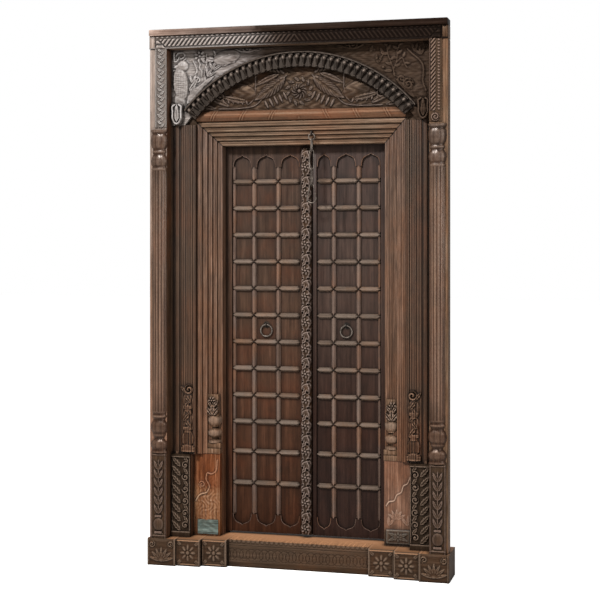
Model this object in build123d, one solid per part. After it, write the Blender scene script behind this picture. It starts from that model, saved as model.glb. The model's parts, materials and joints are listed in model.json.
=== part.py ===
from build123d import *
from math import asin, atan2, cos, degrees, pi, radians, sin
import os

# Carved double-leaf temple door in its frame.
# Millimetres, X to the right, Y into the wall, Z up, seen from -Y.
# The origin is at the middle of the box, on the underside of the sill.
# Depths are counted inwards from the front plane of the two posts.

# Heights of the frame
door_height = 2440
sill_height = 122
cap_height = 29
rope_height = 58
head_height = 431
opening_drop = 525

# Widths of the frame, from the opening outwards
opening_half = 381
reed_widths = (22, 23, 19, 19, 24)
band_face = 115
band_lap = 61
post_width = 83
sill_overhang = 6.5

# Depths of the frame
sill_projection = 20
post_thickness = 64
band_depth = 66
band_back = 130
moulding_front = 87
moulding_inner = 135
rebate_depth = 188
frame_back = 262
sill_end_back = 158
tongue_reach = 32

# Clearances and cutting
cut_overrun = 5
carve_sink = 1.5
running_clearance = 0.06
seat_gap = 0.3
carve_draft = 38

spandrel_foot = door_height - head_height
opening_top = door_height - opening_drop
moulding_width = sum(reed_widths)
band_inner = opening_half + moulding_width
post_inner = band_inner + band_face
band_outer = post_inner + band_lap
post_outer = post_inner + post_width
sill_half = post_outer + sill_overhang
sill_tongue_half = band_inner + tongue_reach
bead_foot = opening_top + moulding_width
depth_centre = (frame_back - sill_projection) / 2
top_rail_foot = door_height - cap_height - rope_height
top_rail_head = door_height - cap_height


def at(depth):
    return depth - depth_centre


# Shared shapes
def slab(x_low, x_high, front, back, z_low, z_high):
    size = Box(x_high - x_low, back - front, z_high - z_low)
    return Pos((x_low + x_high) / 2, at((front + back) / 2), (z_low + z_high) / 2) * size


def outline(points):
    # A face on the local plane, wound so that it looks along the plane's own normal.
    following = points[1:] + points[:1]
    area = sum(a[0] * b[1] - b[0] * a[1] for a, b in zip(points, following))
    return Polygon(*(points if area > 0 else points[::-1]), align=None)


def plan_prism(points, z_low, z_high):
    plan = outline([(x, at(depth)) for x, depth in points])
    return extrude(Pos(0, 0, z_low) * plan, amount=z_high - z_low)


def length_prism(points, x_low, x_high):
    section = outline([(at(depth), z) for depth, z in points])
    return extrude(Plane.YZ.offset(x_low) * section, amount=x_high - x_low)


def face_prism(points, front, back):
    return extrude(front_plane(back) * outline(points), amount=back - front)


def front_plane(depth):
    return Plane(origin=(0, at(depth), 0), x_dir=(1, 0, 0), z_dir=(0, -1, 0))


def relief(points, depth, height):
    sunk = front_plane(depth + carve_sink) * outline(points)
    return extrude(sunk, amount=height + carve_sink, taper=carve_draft)


def placed(shares, x, z, width, height, side=1):
    return [(x + side * across * width, z + up * height) for across, up in shares]


def facets(corner_lists):
    return Solid(Shell([Face(Wire.make_polygon(corners)) for corners in corner_lists]))


def half_turned(profile, x, depth, sides, depth_share):
    # Half of a turned form, cut in flat sides, with its back on one plane.
    turns = [pi * step / sides for step in range(sides + 1)]
    rings = []
    for z, radius in profile:
        reach = radius * depth_share
        rings.append([(x + radius * cos(turn), at(depth) - reach * sin(turn), z) for turn in turns])
    walls = [rings[0], rings[-1], [ring[0] for ring in rings] + [ring[-1] for ring in reversed(rings)]]
    for low, high in zip(rings, rings[1:]):
        walls += [[low[k], low[k + 1], high[k + 1], high[k]] for k in range(sides)]
    return facets(walls)


def mound(points, depth, height, peak):
    # Carving that rises in flat cuts from its outline to one peak.
    foot = [(x, at(depth + carve_sink), z) for x, z in points]
    top = (peak[0], at(depth - height), peak[1])
    return facets([foot] + [[a, b, top] for a, b in zip(foot, foot[1:] + foot[:1])])


def ridged(points, depth, height):
    # A four-cornered strand whose ridge runs from the middle of its first side to that of its third.
    foot = [(x, at(depth + carve_sink), z) for x, z in points]
    a, b, c, d = points
    near = ((a[0] + b[0]) / 2, at(depth - height), (a[1] + b[1]) / 2)
    far = ((c[0] + d[0]) / 2, at(depth - height), (c[1] + d[1]) / 2)
    return facets([foot, [foot[0], foot[1], near], [foot[1], foot[2], far], [foot[1], far, near],
                   [foot[2], foot[3], far], [foot[3], foot[0], near], [foot[3], near, far]])


leaf_shares = [(0, 0), (0.45, 0.5), (1, 0), (0.45, -0.5)]
leaf_peak_share = 0.45
leaf_rise_share = 0.42


def leaf(x, z, turn, length, width, depth):
    run, rise = cos(radians(turn)), sin(radians(turn))
    points = []
    for along, across in leaf_shares:
        u, v = along * length, across * width
        points.append((x + u * run - v * rise, z + u * rise + v * run))
    peak = (x + leaf_peak_share * length * run, z + leaf_peak_share * length * rise)
    return mound(points, depth, width * leaf_rise_share, peak)


notch_share = 0.5
rosette_rise_share = 0.3


def rosette(x, z, radius, petals, depth):
    points = []
    for step in range(2 * petals):
        reach = radius * (notch_share if step % 2 else 1)
        turn = pi * step / petals
        points.append((x + reach * cos(turn), z + reach * sin(turn)))
    return mound(points, depth, radius * rosette_rise_share, (x, z))


def bent_bar(path, plane, radius, sides):
    # A wire of polygonal section along a polygon drawn on the plane, mitred at each corner.
    count = len(path)
    rings = []
    for index, point in enumerate(path):
        before = path[(index - 1) % count]
        after = path[(index + 1) % count]
        turn_in = atan2(point[1] - before[1], point[0] - before[0])
        turn_out = atan2(after[1] - point[1], after[0] - point[0])
        half_turn = atan2(sin(turn_out - turn_in), cos(turn_out - turn_in)) / 2
        middle = turn_in + half_turn - pi / 2
        reach = radius / cos(half_turn)
        ring = []
        for side in range(sides):
            swing = 2 * pi * (side + 1 / 2) / sides
            out = reach * cos(swing)
            local = (point[0] + out * cos(middle), point[1] + out * sin(middle), radius * sin(swing))
            ring.append(plane.from_local_coords(Vector(*local)))
        rings.append(ring)
    faces = []
    for index in range(count):
        ring, after = rings[index], rings[(index + 1) % count]
        for side in range(sides):
            corner = (side + 1) % sides
            edges = Wire.make_polygon([ring[side], after[side], after[corner], ring[corner]])
            faces.append(Face(edges))
    return Solid(Shell(faces))


def mirrored(shape):
    return mirror(shape, about=Plane.YZ)


def joined(base, shapes):
    return base.fuse(*shapes)


# Sill: one beam whose front steps back to the middle, with a tongue behind for the door pivots
sill_block_insets = (364.5, 246.5, 133.5)
sill_setbacks = (70, 44, 20)
pivot_radius = 14
pivot_length = 30
pivot_inset = 2
heel_radius = 22
leaf_depth = 214
leaf_clearance = 9
leaf_rise = 24
rebate_width = 30
sill_rosette_radius = 46
sill_petals = 8
palmette_leaf_length = 52
palmette_leaf_width = 15
palmette_foot = 24
palmette_turns = (20, 55, 90, 125, 160)

pivot_x = opening_half + pivot_inset
leaf_foot = sill_height + leaf_clearance
leaf_top = opening_top + leaf_rise
socket_radius = pivot_radius + running_clearance


def sill():
    edges = (0,) + tuple(sill_half - inset for inset in sill_block_insets) + (sill_half,)
    fronts = tuple(setback - sill_projection for setback in sill_setbacks) + (-sill_projection,)
    half = []
    for index, front in enumerate(fronts):
        half += [(edges[index], front), (edges[index + 1], front)]
    half += [(sill_half, sill_end_back), (sill_tongue_half, sill_end_back), (sill_tongue_half, frame_back)]
    half = half[1:]
    other = [(-x, depth) for x, depth in reversed(half)]
    beam = plan_prism(half + other, 0, sill_height)
    carving = []
    for side in (-1, 1):
        for index in (1, 2):
            middle = (edges[index] + edges[index + 1]) / 2
            carving.append(rosette(side * middle, sill_height / 2, sill_rosette_radius, sill_petals,
                                   fronts[index]))
        middle = (edges[3] + edges[4]) / 2
        front = fronts[3] + palmette_leaf_width * leaf_rise_share
        for turn in palmette_turns:
            carving.append(leaf(side * middle, palmette_foot, turn, palmette_leaf_length,
                                palmette_leaf_width, front))
    end_face = palmette_leaf_width * leaf_rise_share
    for side in (-1, 1):
        low, high = sorted((side * edges[3], side * (sill_half + cut_overrun)))
        beam -= slab(low, high, -sill_projection - cut_overrun, end_face - sill_projection,
                     -cut_overrun, sill_height + cut_overrun)
    beam = joined(beam, carving)
    for side in (-1, 1):
        socket_floor = leaf_foot - pivot_length - seat_gap
        socket = Cylinder(socket_radius, sill_height, align=(Align.CENTER, Align.CENTER, Align.MIN))
        beam -= Pos(side * pivot_x, at(leaf_depth), socket_floor) * socket
    return beam


# Posts with their half columns and pedestals
column_inset = 42
column_radius = 32.5
column_depth_share = 0.5
column_sides = 5
column_foot = 511
column_drop = 457
shaft_foot = 695
capital_length = 180
flute_count = 6
flute_share = 0.9
pedestal_inset = 3
pedestal_width = 70
pedestal_depth = 11
pedestal_panel_foot = 256
pedestal_panel_head = 494
chevron_rows = 5
chevron_leaf_length = 38
chevron_leaf_width = 13
chevron_turn = 52
pedestal_block_foot = 170
pedestal_block_head = 238
pedestal_block_raise = 4
pedestal_block_inset = 9

column_x = post_inner + column_inset
column_head = door_height - column_drop
shaft_head = column_head - capital_length
pedestal_inner = post_inner + pedestal_inset
pedestal_outer = pedestal_inner + pedestal_width

# Heights as shares of the turned length below or above the shaft, radii as shares of the shaft's
base_profile_shares = [
    (0.0, 1.1), (0.06, 1.1), (0.09, 0.98), (0.17, 1.1), (0.34, 0.74), (0.41, 0.74), (0.44, 0.84),
    (0.64, 1.1), (0.83, 0.86), (0.88, 1.02), (0.93, 0.88), (1.0, 1.0)]
capital_profile_shares = [
    (0.0, 1.04), (0.07, 0.94), (0.2, 1.1), (0.35, 0.82), (0.48, 0.8), (0.53, 0.92), (0.93, 1.15), (1.0, 1.15)]


def post():
    return slab(post_inner, post_outer, 0, post_thickness, sill_height, top_rail_foot)


def column():
    base_length = shaft_foot - column_foot
    base = [(column_foot + up * base_length, out * column_radius) for up, out in base_profile_shares]
    capital = [(shaft_head + up * capital_length, out * column_radius) for up, out in capital_profile_shares]
    fluted = []
    steps = 2 * flute_count
    for step in range(steps + 1):
        radius = column_radius * (flute_share if step % 2 else 1)
        turn = pi * step / steps
        fluted.append((column_x + radius * cos(turn), -radius * column_depth_share * sin(turn)))
    shaft = plan_prism(fluted, shaft_foot - carve_sink, shaft_head + carve_sink)
    ends = [half_turned(part, column_x, 0, column_sides, column_depth_share) for part in (base, capital)]
    return joined(shaft, ends)


def pedestal():
    block = slab(pedestal_inner, pedestal_outer, -pedestal_depth, 0, sill_height, column_foot)
    middle = (pedestal_inner + pedestal_outer) / 2
    pitch = (pedestal_panel_head - pedestal_panel_foot) / chevron_rows
    carving = []
    for row in range(chevron_rows):
        foot = pedestal_panel_foot + row * pitch
        for turn in (chevron_turn, 180 - chevron_turn):
            carving.append(leaf(middle, foot, turn, chevron_leaf_length, chevron_leaf_width, -pedestal_depth))
    low, high = pedestal_inner + pedestal_block_inset, pedestal_outer - pedestal_block_inset
    corner = pedestal_block_inset
    plate = [(low + corner, pedestal_block_foot), (high - corner, pedestal_block_foot),
             (high, pedestal_block_foot + corner), (high, pedestal_block_head - corner),
             (high - corner, pedestal_block_head), (low + corner, pedestal_block_head),
             (low, pedestal_block_head - corner), (low, pedestal_block_foot + corner)]
    carving.append(relief(plate, -pedestal_depth, pedestal_block_raise))
    return joined(block, carving)


# Reeded bands beside the mouldings, with a tall flower on a stand carved on the lower part
band_flat = 73
band_groove_width = 7
band_groove_depth = 5
band_reed_width = 16
band_reed_raise = 2.5
band_edge = 4
plinth_head = 500
plinth_lap = 22
stand_foot = 516
stand_head = 600
stand_radius = 29
stand_depth_share = 0.5
stand_sides = 6
bud_foot = 598
bud_length = 112
bud_width = 34
bud_turn = 82
cross_leaf_z = 712
cross_leaf_length = 44
cross_leaf_width = 15
cross_leaf_turns = (35, 145)
flower_z = 772
flower_radius = 25
flower_petals = 7
band_groove = band_inner + band_flat
plinth_split = band_inner + plinth_lap
stand_profile_shares = [
    (0.0, 1.0), (0.1, 1.0), (0.14, 0.84), (0.36, 0.95), (0.66, 0.78), (0.77, 0.92), (0.84, 0.7), (1.0, 0.78)]


def stand(x, depth, foot, head, radius, shares):
    profile = [(foot + up * (head - foot), out * radius) for up, out in shares]
    return half_turned(profile, x, depth, stand_sides, stand_depth_share)


def band():
    reed_start = band_groove + band_groove_width
    reed_end = reed_start + band_reed_width
    groove_floor = band_depth + band_groove_depth
    channel_floor = groove_floor + band_groove_depth
    front = [
        (band_inner, band_depth + band_edge), (band_inner + band_edge, band_depth),
        (band_groove, band_depth), (band_groove + band_reed_raise, groove_floor),
        (reed_start - band_reed_raise, groove_floor), (reed_start, band_depth),
        (reed_start + band_edge, band_depth - band_reed_raise),
        (reed_end - band_edge, band_depth - band_reed_raise), (reed_end, band_depth),
        (reed_end + band_edge, channel_floor), (post_inner - band_edge, channel_floor),
        (post_inner, post_thickness), (band_outer, post_thickness)]
    back = [(band_outer, band_back), (band_inner, band_back)]
    board = plan_prism(front + back, sill_height, spandrel_foot)
    board -= slab(band_inner - cut_overrun, plinth_split, 0, band_back + cut_overrun,
                  sill_height - cut_overrun, plinth_head)
    middle = (band_inner + band_groove) / 2
    carving = [stand(middle, band_depth, stand_foot, stand_head, stand_radius, stand_profile_shares)]
    carving.append(leaf(middle, bud_foot, bud_turn, bud_length, bud_width, band_depth))
    for turn in cross_leaf_turns:
        carving.append(leaf(middle, cross_leaf_z, turn, cross_leaf_length,
                            cross_leaf_width, band_depth))
    carving.append(rosette(middle, flower_z, flower_radius, flower_petals, band_depth))
    return joined(board, carving)


# Carved plinth boards at the foot of the bands
band_plinth_gap = 3
band_plinth_raise = 12
band_plinth_step = 6
band_plinth_base = 28
band_plinth_cap = 15
foliage_rows = 5
foliage_leaf_length = 36
foliage_leaf_width = 15
foliage_turns = (30, 150, 210, 330)

band_plinth_outer = post_inner - band_plinth_gap


def band_plinth():
    back = band_depth - band_reed_raise
    front = back - band_plinth_raise
    step_front = front - band_plinth_step
    board = slab(plinth_split, band_plinth_outer, front, back, sill_height, plinth_head)
    foot = sill_height + band_plinth_base
    base = slab(plinth_split, band_plinth_outer, step_front, back, sill_height, foot)
    cap = slab(plinth_split, band_plinth_outer, step_front, back, plinth_head - band_plinth_cap, plinth_head)
    pitch = (plinth_head - band_plinth_cap - foot) / foliage_rows
    middle = (plinth_split + band_plinth_outer) / 2
    carving = [base, cap]
    for row in range(foliage_rows):
        centre = foot + (row + 1 / 2) * pitch
        for turn in foliage_turns:
            carving.append(leaf(middle, centre, turn, foliage_leaf_length, foliage_leaf_width, front))
    return joined(board, carving)


# Door frame: jambs and lintel of one stepped and reeded moulding, mitred at the corners
reed_round = 3
urn_inset = 37
urn_depth = 135
urn_height = 141
urn_radius = 33
urn_step_rises = (24, 25)
urn_step_half_widths = (50, 42)
urn_step_fronts = (100, 106)
spray_leaf_length = 60
spray_leaf_width = 18
spray_turns = (60, 90, 120)
spray_depth = 118
urn_profile_shares = [
    (0.0, 0.95), (0.1, 0.95), (0.16, 0.7), (0.38, 0.84), (0.47, 0.62), (0.62, 0.98), (0.8, 1.0), (1.0, 0.55)]

reed_depth_step = (moulding_inner - moulding_front) / (len(reed_widths) - 1)
urn_x = opening_half + urn_inset
urn_foot = plinth_head + sum(urn_step_rises)
urn_head = urn_foot + urn_height


def moulding_profile():
    profile = []
    outer = moulding_width
    for index, width in enumerate(reed_widths):
        inner = outer - width
        depth = moulding_front + index * reed_depth_step
        profile += [(outer, depth + reed_round), (outer - reed_round, depth),
                    (inner + reed_round, depth), (inner, depth + reed_round)]
        outer = inner
    profile += [(0, rebate_depth), (rebate_width, rebate_depth)]
    profile += [(rebate_width, frame_back), (moulding_width, frame_back)]
    return profile


def mitre_plane():
    return Plane(origin=(opening_half, 0, opening_top), x_dir=(0, 1, 0), z_dir=(1, 0, -1))


def jamb():
    points = [(opening_half + across, depth) for across, depth in moulding_profile()]
    timber = plan_prism(points, sill_height, bead_foot)
    timber = split(timber, bisect_by=mitre_plane(), keep=Keep.TOP)
    timber -= slab(opening_half - cut_overrun, band_inner + cut_overrun, 0, moulding_inner,
                   sill_height - cut_overrun, plinth_head)
    carving = [stand(urn_x, urn_depth, urn_foot, urn_head, urn_radius, urn_profile_shares)]
    foot = plinth_head
    for half_width, front, rise in zip(urn_step_half_widths, urn_step_fronts, urn_step_rises):
        low = max(urn_x - half_width, opening_half)
        carving.append(slab(low, urn_x + half_width, front, urn_depth, foot, foot + rise))
        foot += rise
    carving.append(slab(urn_x - spray_leaf_width, urn_x + spray_leaf_width, spray_depth, urn_depth,
                        urn_head - spray_leaf_width, urn_head + spray_leaf_length))
    for turn in spray_turns:
        carving.append(leaf(urn_x, urn_head, turn, spray_leaf_length, spray_leaf_width, spray_depth))
    return joined(timber, carving)


def lintel():
    points = [(depth, opening_top + across) for across, depth in moulding_profile()]
    timber = length_prism(points, -band_inner, band_inner)
    timber = split(timber, bisect_by=mitre_plane(), keep=Keep.BOTTOM)
    timber = mirrored(split(mirrored(timber), bisect_by=mitre_plane(), keep=Keep.BOTTOM))
    for side in (-1, 1):
        socket = Cylinder(socket_radius, pivot_length + rebate_width,
                          align=(Align.CENTER, Align.CENTER, Align.MIN))
        timber -= Pos(side * pivot_x, at(leaf_depth), leaf_top) * socket
    return timber


# Plinth blocks at the foot of the jambs
jamb_plinth_front = 105
jamb_plinth_gap = 3
jamb_plinth_panel_inset = 9
jamb_plinth_panel_raise = 4
jamb_plinth_foot = 70

jamb_plinth_inner = opening_half + jamb_plinth_gap


def jamb_plinth():
    block = slab(jamb_plinth_inner, plinth_split, jamb_plinth_front, moulding_inner, sill_height, plinth_head)
    low, high = jamb_plinth_inner + jamb_plinth_panel_inset, plinth_split - jamb_plinth_panel_inset
    foot = sill_height + jamb_plinth_panel_inset
    head = sill_height + jamb_plinth_foot
    panel = [(low, foot), (high, foot), (high, head), (low, head)]
    return joined(block, [relief(panel, jamb_plinth_front, jamb_plinth_panel_raise)])


# Head of the frame: bead, tympanum, arched panel with its row of buds, top rail with rope moulding
bead_height = 50
bead_end_gap = 2
bead_front = 66
bead_sides = 4
ribbon_count = 7
ribbon_width = 14
ribbon_raise = 2
ribbon_lean = 26
panel_thickness = 20
tympanum_inset = 74
tympanum_drop = 110
tympanum_rosette_drop = 290
tympanum_rosette_radius = 56
tympanum_petals = 12
scroll_leaf_count = 5
scroll_leaf_length = 58
scroll_leaf_width = 19
scroll_inset = 84
scroll_pitch = 52
scroll_lean = 48
scroll_drop = 4
arch_shoulder = 126
arch_rise = 278
arch_inner_reach = 28
arch_outer_reach = 42
arch_span_share = 0.94
arch_rib_depth = 48
arch_rim_depth = 40
arch_rim_width = 9
bud_total = 37
arch_bud_length = 55
arch_bud_fill_share = 0.425
arch_bud_depth_share = 2.3
arch_bud_sides = 3
arch_bud_inset = 3
arch_bud_shares = [(0.0, 0.4), (0.7, 1.0), (1.0, 0.5)]

tympanum_front = post_thickness + panel_thickness
bead_half = band_inner - bead_end_gap
tympanum_half = band_outer - tympanum_inset
tympanum_head = door_height - tympanum_drop
tympanum_rosette_z = door_height - tympanum_rosette_drop
arch_chord_half = band_outer - arch_shoulder
arch_radius = (arch_chord_half**2 + arch_rise**2) / (2 * arch_rise)
arch_centre_z = spandrel_foot + arch_rise - arch_radius
arch_span = degrees(asin(arch_span_share * arch_chord_half / arch_radius))


def roll_section(reach):
    middle = bead_foot + bead_height / 2
    turns = [pi * step / bead_sides for step in range(bead_sides + 1)]
    return [(tympanum_front - reach * sin(turn), middle + bead_height / 2 * cos(turn)) for turn in turns]


def ribbon_bead():
    reach = tympanum_front - bead_front
    roll = length_prism(roll_section(reach), -bead_half, bead_half)
    ribbon_roll = length_prism(roll_section(reach + ribbon_raise), -bead_half, bead_half)
    pitch = 2 * bead_half / ribbon_count
    bead_head = bead_foot + bead_height
    wraps = []
    for index in range(ribbon_count):
        start = (index + 1 / 2) * pitch - bead_half
        lean = ribbon_lean if start < 0 else -ribbon_lean
        points = [(start, bead_foot), (start + ribbon_width, bead_foot),
                  (start + ribbon_width + lean, bead_head), (start + lean, bead_head)]
        wraps.append(face_prism(points, 0, tympanum_front) & ribbon_roll)
    return joined(roll, wraps)


def tympanum_panel():
    # Two ears reach down past the lintel to the tops of the bands.
    edge = [(-tympanum_half, spandrel_foot), (-band_inner, spandrel_foot), (-band_inner, bead_foot),
            (band_inner, bead_foot), (band_inner, spandrel_foot), (tympanum_half, spandrel_foot),
            (tympanum_half, tympanum_head), (-tympanum_half, tympanum_head)]
    board = face_prism(edge, tympanum_front, tympanum_front + panel_thickness)
    carving = [rosette(0, tympanum_rosette_z, tympanum_rosette_radius, tympanum_petals, tympanum_front)]
    for side in (-1, 1):
        for index in range(scroll_leaf_count):
            x = side * (scroll_inset + index * scroll_pitch)
            z = tympanum_rosette_z - index * scroll_drop
            for turn in (scroll_lean, -scroll_lean):
                away = turn if side > 0 else 180 - turn
                carving.append(leaf(x, z, away, scroll_leaf_length, scroll_leaf_width, tympanum_front))
    return joined(board, carving)


# Spandrel carving: a perched bird with a round body, a blossom and leaf sprays on each side
bird_inset = 62
bird_drop = 316
bird_width = 72
bird_height = 140
bird_raise = 11
bird_shares = [(-0.3, 0.0), (0.26, 0.0), (0.46, 0.34), (0.48, 0.66), (0.26, 0.94), (-0.08, 1.02),
               (-0.4, 0.86), (-0.5, 0.56), (-0.46, 0.26)]
neck_turn = 112
neck_length = 78
neck_width = 26
beak_turn = 200
beak_length = 30
beak_width = 12
tail_turns = (262, 280)
tail_length = 36
tail_width = 22
blossom_inset = 137
blossom_drop = 128
blossom_radius = 27
blossom_petals = 8
spray_insets = (111, 173, 227)
spray_drops = (260, 204, 178)
spandrel_spray_turns = (62, 100, 138)
spandrel_leaf_length = 66
spandrel_leaf_width = 20
crown_leaf_inset = 303
crown_leaf_pitch = 78
crown_leaf_count = 3
crown_leaf_drop = 100
crown_leaf_length = 62
crown_leaf_width = 17

bird_x = post_inner - bird_inset
bird_z = door_height - bird_drop
blossom_x = post_inner - blossom_inset
blossom_z = door_height - blossom_drop


def bird(side):
    # Drawn for the left spandrel, looking outwards, and turned over for the right one.
    head = bird_z + bird_height
    shapes = [mound(placed(bird_shares, side * bird_x, bird_z, bird_width, bird_height, -side),
                    post_thickness, bird_raise, (side * bird_x, bird_z + bird_height / 2))]
    neck_x = side * bird_x
    neck_z = head - neck_width
    tip_x = neck_x + side * neck_length * cos(radians(180 - neck_turn))
    tip_z = neck_z + neck_length * sin(radians(neck_turn)) - beak_width
    strokes = [(neck_x, neck_z, neck_turn, neck_length, neck_width),
               (tip_x, tip_z, beak_turn, beak_length, beak_width)]
    strokes += [(neck_x, bird_z + tail_width, turn, tail_length, tail_width) for turn in tail_turns]
    for x, z, turn, length, width in strokes:
        shapes.append(leaf(x, z, turn if side < 0 else 180 - turn, length, width, post_thickness))
    return shapes


def arch_panel():
    board = slab(-band_outer, band_outer, post_thickness, tympanum_front, spandrel_foot, top_rail_head)
    hole = front_plane(tympanum_front + cut_overrun) * Pos(0, arch_centre_z) * Circle(arch_radius)
    board -= extrude(hole, amount=panel_thickness + 2 * cut_overrun)
    carving = []
    for side in (-1, 1):
        carving += bird(side)
        carving.append(rosette(side * blossom_x, blossom_z, blossom_radius, blossom_petals, post_thickness))
        for inset, drop in zip(spray_insets, spray_drops):
            for turn in spandrel_spray_turns:
                away = turn if side < 0 else 180 - turn
                carving.append(leaf(side * (post_inner - inset), door_height - drop, away,
                                    spandrel_leaf_length, spandrel_leaf_width, post_thickness))
        for index in range(crown_leaf_count):
            x = side * (post_inner - crown_leaf_inset - index * crown_leaf_pitch)
            away = 180 if side > 0 else 0
            carving.append(leaf(x, door_height - crown_leaf_drop, away, crown_leaf_length,
                                crown_leaf_width, post_thickness))
    return joined(board, carving)


def arch_sector(inner, outer, front, back):
    wedge_reach = outer / cos(radians(arch_span)) + outer
    half_chord = wedge_reach * sin(radians(arch_span))
    wedge = Polygon((0, 0), (half_chord, wedge_reach * cos(radians(arch_span))),
                    (-half_chord, wedge_reach * cos(radians(arch_span))), align=None)
    ring = (Circle(outer) - Circle(inner)) & wedge
    return extrude(front_plane(back) * Pos(0, arch_centre_z) * ring, amount=back - front)


def arch_bud_border():
    inner, outer = arch_radius - arch_inner_reach, arch_radius + arch_outer_reach
    border = arch_sector(inner, outer, arch_rib_depth, post_thickness)
    rim = arch_sector(outer - arch_rim_width, outer, arch_rim_depth, post_thickness)
    pitch = 2 * arch_span / bud_total
    foot = arch_centre_z + inner + arch_bud_inset
    bud_radius = radians(pitch) * (inner + arch_bud_length) * arch_bud_fill_share
    profile = [(foot + along * arch_bud_length, out * bud_radius) for along, out in arch_bud_shares]
    model = half_turned(profile, 0, arch_rib_depth + carve_sink, arch_bud_sides, arch_bud_depth_share)
    axis = Axis((0, 0, arch_centre_z), (0, 1, 0))
    buds = [model.rotate(axis, (index + 1 / 2) * pitch - arch_span) for index in range(bud_total)]
    return joined(border, [rim] + buds)


# Leaf brackets under the ends of the arch
bracket_gap = 5
bracket_width = 54
bracket_height = 97
bracket_depth = 40
bracket_leaf_width = 19
bracket_leaf_length = 74
bracket_turns = (72, 90, 108)
bracket_roll_radius = 17
bracket_shares = [(0.0, 0.18), (0.18, 0.0), (0.82, 0.0), (1.0, 0.18), (1.0, 1.0), (0.0, 1.0)]


def arch_bracket():
    inner = arch_chord_half + bracket_gap
    block = face_prism(placed(bracket_shares, inner, spandrel_foot, bracket_width, bracket_height),
                       bracket_depth, post_thickness)
    middle = inner + bracket_width / 2
    foot = spandrel_foot + bracket_roll_radius
    leaves = [leaf(middle, foot, turn, bracket_leaf_length, bracket_leaf_width, bracket_depth)
              for turn in bracket_turns]
    return joined(block, leaves)


# Top rail, its rope moulding and the cap board
cap_front = 16
rope_base = 4
rope_raise = 9
rope_count = 38
rope_lean_share = 0.75
rope_fill_share = 0.86


def cap_board():
    return slab(-post_outer, post_outer, -cap_front, post_thickness, top_rail_head, door_height)


def top_rail():
    return slab(-post_outer, post_outer, 0, post_thickness, top_rail_foot, top_rail_head)


def rope_strands(low, high, foot, head, count, lean, depth):
    pitch = (high - low) / count
    strands = []
    for index in range(count):
        start = low + index * pitch
        width = pitch * rope_fill_share
        points = [(start, foot), (start + width, foot), (start + width + lean, head), (start + lean, head)]
        points = [(min(max(x, low), high), z) for x, z in points]
        if points[1][0] - points[0][0] > pitch / 3 and points[2][0] - points[3][0] > pitch / 3:
            strands.append(ridged(points, depth, rope_raise - rope_base))
    return strands


def rope_moulding():
    strip = slab(-post_outer, post_outer, -rope_base, 0, top_rail_foot, top_rail_head)
    pitch = post_outer / (rope_count / 2)
    lean = pitch * rope_lean_share
    halves = rope_strands(-post_outer, 0, top_rail_foot, top_rail_head, rope_count // 2, lean, -rope_base)
    halves += rope_strands(0, post_outer, top_rail_foot, top_rail_head, rope_count // 2, -lean, -rope_base)
    return joined(strip, halves)


# Carved strips beside the spandrels: leaves in zigzag on the left, rope on the right
strip_width = 56
strip_drop = 15
strip_base = 5
zigzag_rows = 12
zigzag_turn = 32
zigzag_leaf_length = 40
zigzag_leaf_width = 14
strip_rope_count = 13
strip_rope_lean = 26
strip_margin = 7

strip_outer = post_inner + strip_width
strip_foot = spandrel_foot - strip_drop


def left_frieze_strip():
    strip = slab(-strip_outer, -post_inner, -strip_base, 0, strip_foot, top_rail_foot)
    pitch = (top_rail_foot - strip_foot - 2 * strip_margin) / zigzag_rows
    carving = []
    for row in range(zigzag_rows):
        z = strip_foot + strip_margin + (row + 1 / 4) * pitch
        even = row % 2
        x = -strip_outer + strip_margin if even else -post_inner - strip_margin
        turn = zigzag_turn if even else 180 - zigzag_turn
        carving.append(leaf(x, z, turn, zigzag_leaf_length, zigzag_leaf_width, -strip_base))
    return joined(strip, carving)


def right_frieze_strip():
    strip = slab(post_inner, strip_outer, -strip_base, 0, strip_foot, top_rail_foot)
    pitch = (top_rail_foot - strip_foot) / strip_rope_count
    low, high = post_inner + strip_margin, strip_outer - strip_margin
    carving = []
    for row in range(strip_rope_count):
        foot = strip_foot + row * pitch
        thick = pitch * rope_fill_share
        points = [(low, foot), (low, foot + thick), (high, foot + strip_rope_lean + thick),
                  (high, foot + strip_rope_lean)]
        points = [(x, min(z, top_rail_foot)) for x, z in points]
        if points[2][1] - points[3][1] > thick / 2:
            carving.append(ridged(points, -strip_base, rope_raise - strip_base))
    return joined(strip, carving)


# Door leaves: planks, stiles, arched rails and a lattice of pointed bars planted on the planks
bar_front = 190
panel_depth = 208
plank_back = 236
ledge_back = 258
stile_lap = 29
bar_line_shares = (0.7034, 0.3727)
meeting_line = 31.5
meeting_gap = 3
left_meeting_width = 56
right_meeting_width = 18
meeting_front = 196
plank_joint = 1
bar_width = 26
upright_width = 22
upright_ridge = 7
upright_front = 192
arch_margin = 4
tip_gap = 2
row_top_drop = 164
row_foot = 357.3
regular_rows = 9
row_foot_shares = (0.0994, 0.1043)
arch_rail_front = 196
top_spring_drop = 98
top_tip_drop = 39
foot_arch_spring = 214
foot_arch_tip = 159
ogee_shares = [(0.0, 0.0), (0.05, 0.38), (0.2, 0.65), (0.42, 0.84), (0.5, 1.0)]
ledge_count = 4
ledge_width = 90
ledge_foot = 290
ledge_drop = 239
ledge_inset = 68

stile_inner = opening_half - stile_lap
bar_line_outer, bar_line_inner = [share * stile_inner for share in bar_line_shares]
row_top = opening_top - row_top_drop
row_run = row_top - row_foot
row_pitch = row_run * (1 - sum(row_foot_shares)) / regular_rows
top_arch_spring = opening_top - top_spring_drop
top_arch_tip = opening_top - top_tip_drop
left_edge = meeting_line - meeting_gap / 2
right_edge = meeting_line + meeting_gap / 2


def row_heights():
    rows = [row_top - index * row_pitch for index in range(regular_rows + 1)]
    for share in row_foot_shares:
        rows.append(rows[-1] - share * row_run)
    return rows


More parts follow.
